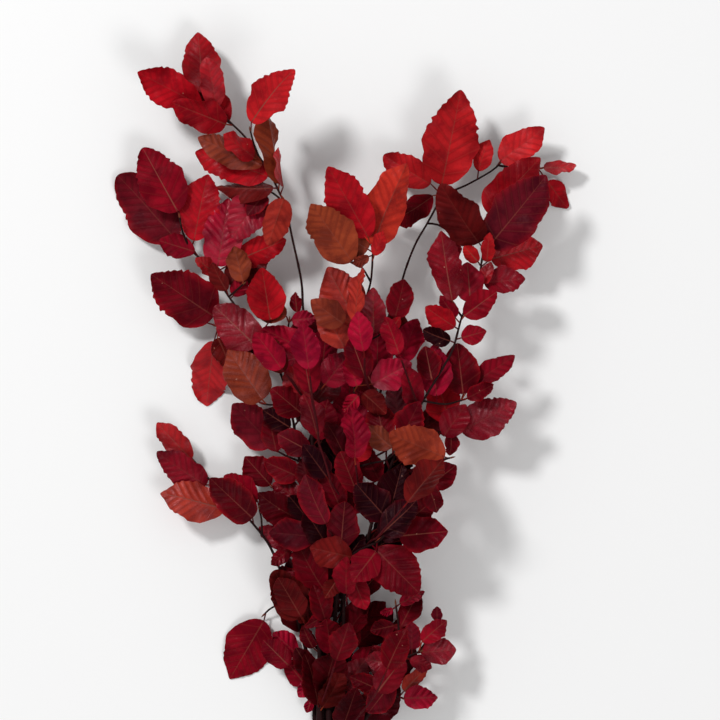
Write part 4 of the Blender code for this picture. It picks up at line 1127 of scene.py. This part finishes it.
class Nodes:
    """A small helper for node materials."""

    def __init__(self, name):
        self.material = bpy.data.materials.new(name)
        self.material.use_nodes = True
        self.tree = self.material.node_tree
        self.shader = self.tree.nodes["Principled BSDF"]

    def add(self, kind, **values):
        node = self.tree.nodes.new(kind)
        for key, value in values.items():
            setattr(node, key, value)
        return node

    def link(self, source, target):
        self.tree.links.new(source, target)

    def feed(self, sockets, values):
        """Sets each socket to its number or colour, or links it to what is given for it."""
        for socket, value in zip(sockets, values):
            if isinstance(value, (int, float, tuple)):
                socket.default_value = value
            else:
                self.link(value, socket)

    def math(self, operation, *values):
        node = self.add("ShaderNodeMath", operation=operation)
        self.feed(node.inputs, values)
        return node.outputs[0]

    def ramp(self, value, low, high, to_low=0.0, to_high=1.0):
        node = self.add("ShaderNodeMapRange", interpolation_type="SMOOTHSTEP")
        keys = ("Value", "From Min", "From Max", "To Min", "To Max")
        self.feed([node.inputs[key] for key in keys], (value, low, high, to_low, to_high))
        return node.outputs[0]

    def mix(self, share, first, second, blend="MIX"):
        node = self.add("ShaderNodeMix", data_type="RGBA", blend_type=blend)
        self.feed([node.inputs[i] for i in COLOUR_MIX_INPUTS], (share, first, second))
        return node.outputs[COLOUR_MIX_RESULT]

    def tinted(self, base, tint):
        return self.mix(1.0, base, tint, "MULTIPLY")

    def noise(self, scale, detail, rough):
        node = self.add("ShaderNodeTexNoise")
        keys = ("Scale", "Detail", "Roughness", "Vector")
        self.feed([node.inputs[key] for key in keys], (scale, detail, rough, self.where))
        return node.outputs["Fac"]

    def read(self, name):
        """The three parts of the attribute of that name."""
        attribute = self.add("ShaderNodeAttribute", attribute_name=name)
        parts = self.add("ShaderNodeSeparateXYZ")
        self.link(attribute.outputs["Vector"], parts.inputs[0])
        return parts.outputs

    def read_tint(self):
        """Reads the piece's own coordinates and the tint of its points."""
        self.where = self.add("ShaderNodeTexCoord").outputs["Object"]
        self.tint = self.add("ShaderNodeAttribute", attribute_name="tint")

    def finish(self, *values):
        """Gives the shader its colour, roughness, gloss and, where there is one, its normal."""
        keys = ("Base Color", "Roughness", "Specular IOR Level", "Normal")
        self.feed([self.shader.inputs[key] for key in keys], values)

    def bump(self, height, strength, distance, normal=None):
        node = self.add("ShaderNodeBump")
        node.inputs["Strength"].default_value = strength
        node.inputs["Distance"].default_value = distance
        self.link(height, node.inputs["Height"])
        if normal:
            self.link(normal, node.inputs["Normal"])
        return node.outputs["Normal"]


def leaf_finish():
    """Dyed leaf: fine pale ribs, painted shade in the furrows along them, mottled dye, a net of small veins
    and a soft gloss.
    """
    n = Nodes("dyed_leaf")
    n.read_tint()
    phase, across, along = n.read("place")
    midrib_shown, veins_shown, gloss = n.read("nature")
    off_vein = n.math("ABSOLUTE", n.math("SUBTRACT", n.math("FRACT", n.math("ADD", phase, 0.5)), 0.5))
    off_midrib = n.math("ABSOLUTE", across)
    vein = n.math("MULTIPLY", n.ramp(off_vein, *VEIN_LINE), n.ramp(off_midrib, *VEIN_FADE))
    thin = n.ramp(along, 0.0, 1.0, MIDRIB_LINE, MIDRIB_TIP_LINE)
    midrib = n.ramp(n.math("DIVIDE", off_midrib, thin), *MIDRIB_EDGE)
    # Painted shade: the furrow along each vein is darkened.
    furrow_shade = n.ramp(off_vein, *FURROW_SHADE)
    blotch, fine, speck = n.noise(*BLOTCH_NOISE), n.noise(*FINE_NOISE), n.noise(*SPECK_NOISE)
    net = n.add("ShaderNodeTexVoronoi", feature="DISTANCE_TO_EDGE")
    n.feed([net.inputs["Scale"], net.inputs["Vector"]], (NET_SCALE, n.where))
    mesh_line = n.ramp(net.outputs["Distance"], *NET_LINE)
    base = n.tint.outputs["Color"]
    dark = n.tinted(base, BLOTCH_TINT)
    colour = n.mix(n.ramp(blotch, *BLOTCH_DARK), base, dark)
    colour = n.mix(n.ramp(blotch, *BLOTCH_BRIGHT), colour, n.tinted(base, BRIGHT_TINT))
    colour = n.mix(n.math("MULTIPLY", furrow_shade, FURROW_SHADE_SHARE), colour, n.tinted(base, FURROW_SHADE_TINT))
    colour = n.mix(n.math("MULTIPLY", mesh_line, n.ramp(fine, *NET_SHOWN)), colour, dark)
    pale = n.mix(VEIN_PALENESS, base, VEIN_COLOUR)
    colour = n.mix(n.math("MULTIPLY", vein, veins_shown), colour, pale)
    colour = n.mix(n.math("MULTIPLY", midrib, midrib_shown), colour, MIDRIB_COLOUR)
    colour = n.mix(n.ramp(speck, *SPECK_RANGE), colour, SPECK_COLOUR)
    rough = n.math("ADD", n.tint.outputs["Alpha"], n.ramp(fine, *FINE_ROUGHNESS))
    depths = n.math("MULTIPLY", mesh_line, NET_DEPTH), n.math("MULTIPLY", fine, FINE_DEPTH)
    normal = n.bump(n.noise(*CRUMPLE_NOISE), *CRUMPLE_BUMP)
    normal = n.bump(n.math("ADD", *depths), *NET_BUMP, normal)
    normal = n.bump(n.math("SUBTRACT", 1.0, vein), *VEIN_BUMP, normal)
    n.finish(colour, rough, n.ramp(gloss, *GLOSS), normal)
    n.shader.inputs["Specular Tint"].default_value = SHEEN_TINT
    return n.material


def bark_finish():
    """Dark dyed bark with fine lengthwise grain and paler pores."""
    n = Nodes("bark")
    n.read_tint()
    grain, pores = n.noise(*GRAIN_NOISE), n.noise(*PORE_NOISE)
    base = n.tint.outputs["Color"]
    colour = n.mix(n.ramp(grain, *GRAIN_SHOWN), base, n.tinted(base, GRAIN_TINT))
    colour = n.mix(n.ramp(pores, *PORE_SHOWN), colour, PORE_COLOUR)
    n.finish(colour, n.ramp(grain, *GRAIN_ROUGHNESS), BARK_SPECULAR, n.bump(grain, *GRAIN_BUMP))
    return n.material


def filling_look(leaf, shown_under, draw):
    """The dye of a leaf that isn't listed, by where it lies, with near-black letters as painted shade in
    the middle of the heart.
    """
    look = draw.choice(HIGH_FILLING if leaf.base.y < FILLING_SPLIT else LOW_FILLING)
    if shown_under:
        look = draw.choice(UNDER_FILLING)
    # Painted shade: in the middle of the heart a filling leaf takes a near-black letter.
    if math.dist(leaf.point(0.5, 0)[:2], SHADED_HEART_CENTRE) < SHADED_HEART_RADIUS:
        look = draw.choice(SHADED_HEART_FILLING)
    return look


def dress(bunch):
    """Two fine pieces for every branch: its wood and its leaves."""
    leaf_look, bark_look = leaf_finish(), bark_finish()
    draw = random.Random(LOOK_SEED)
    for branch in BRANCHES:
        wood, leaves = Mesh(), Mesh()
        for route, kind in bunch.routes[branch]:
            path = curve_through(route, FINE_STEP)
            add_bark(wood, path, kind, draw)
            if kind.budded:
                add_bud(wood, path, draw)
        for leaf, look, turn in bunch.leaves[branch]:
            shown_under = math.cos(math.radians(turn)) < 0
            depth = 1.0
            if look is None:
                look = filling_look(leaf, shown_under, draw)
                # Painted shade: a filling leaf's colour is darkened the lower it lies in the bunch.
                depth = clamp(LOW_LEAF_SHADE + leaf.base.z / LOW_LEAF_SHADE_HEIGHT, LOW_LEAF_SHADE, 1)
            add_blade(leaves, leaf, look, shown_under, depth, draw)
            add_stalk(leaves, leaf, draw)
        short = branch.removesuffix("_branch")
        for mesh, ending, material in ((wood, "_wood", bark_look), (leaves, "_leaves", leaf_look)):
            piece = mesh.build(short + ending, material)
            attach(piece, "root")
            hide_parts(branch)


def lay_floor():
    mesh = bpy.data.meshes.new("floor")
    half = FLOOR_SIZE / 2
    corners = [(-half, -half), (half, -half), (half, half), (-half, half)]
    mesh.from_pydata([(x, y, FLOOR_HEIGHT) for x, y in corners], [], [(0, 1, 2, 3)])
    floor = link_object("floor", mesh)
    n = Nodes("pale_floor")
    n.finish(FLOOR_COLOUR, FLOOR_ROUGHNESS, FLOOR_SPECULAR)
    mesh.materials.append(n.material)


def aim(thing, target):
    thing.rotation_euler = (Vector(target) - thing.location).to_track_quat("-Z", "Y").to_euler()


def light_up():
    """A large soft key light at the upper left, a weak one across from it, and even light all round."""
    for name, place, size, power in LIGHTS:
        data = bpy.data.lights.new(name, "AREA")
        data.shape = "DISK"
        data.size = size
        data.energy = power
        lamp = link_object(name, data)
        lamp.location = place
        aim(lamp, MIDDLE)
    world = bpy.data.worlds.new("studio")
    world.use_nodes = True
    background = world.node_tree.nodes["Background"]
    background.inputs["Color"].default_value = WORLD_COLOUR
    background.inputs["Strength"].default_value = WORLD_STRENGTH
    bpy.context.scene.world = world
    bpy.context.scene.view_settings.view_transform = "Standard"


def set_camera():
    """Straight above the middle of the photo's square, far off."""
    data = bpy.data.cameras.new("camera")
    data.sensor_width = SENSOR
    data.lens = SENSOR * CAMERA_DISTANCE / FRAME_WIDTH
    data.clip_end = FAR_CLIP
    camera = link_object("camera", data)
    camera.location = (MIDDLE[0], MIDDLE[1], MIDDLE[2] + CAMERA_DISTANCE)
    bpy.context.scene.camera = camera


for old in list(bpy.data.objects):
    bpy.data.objects.remove(old)
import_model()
grown = Bunch()
grown.grow()
dress(grown)
lay_floor()
light_up()
set_camera()
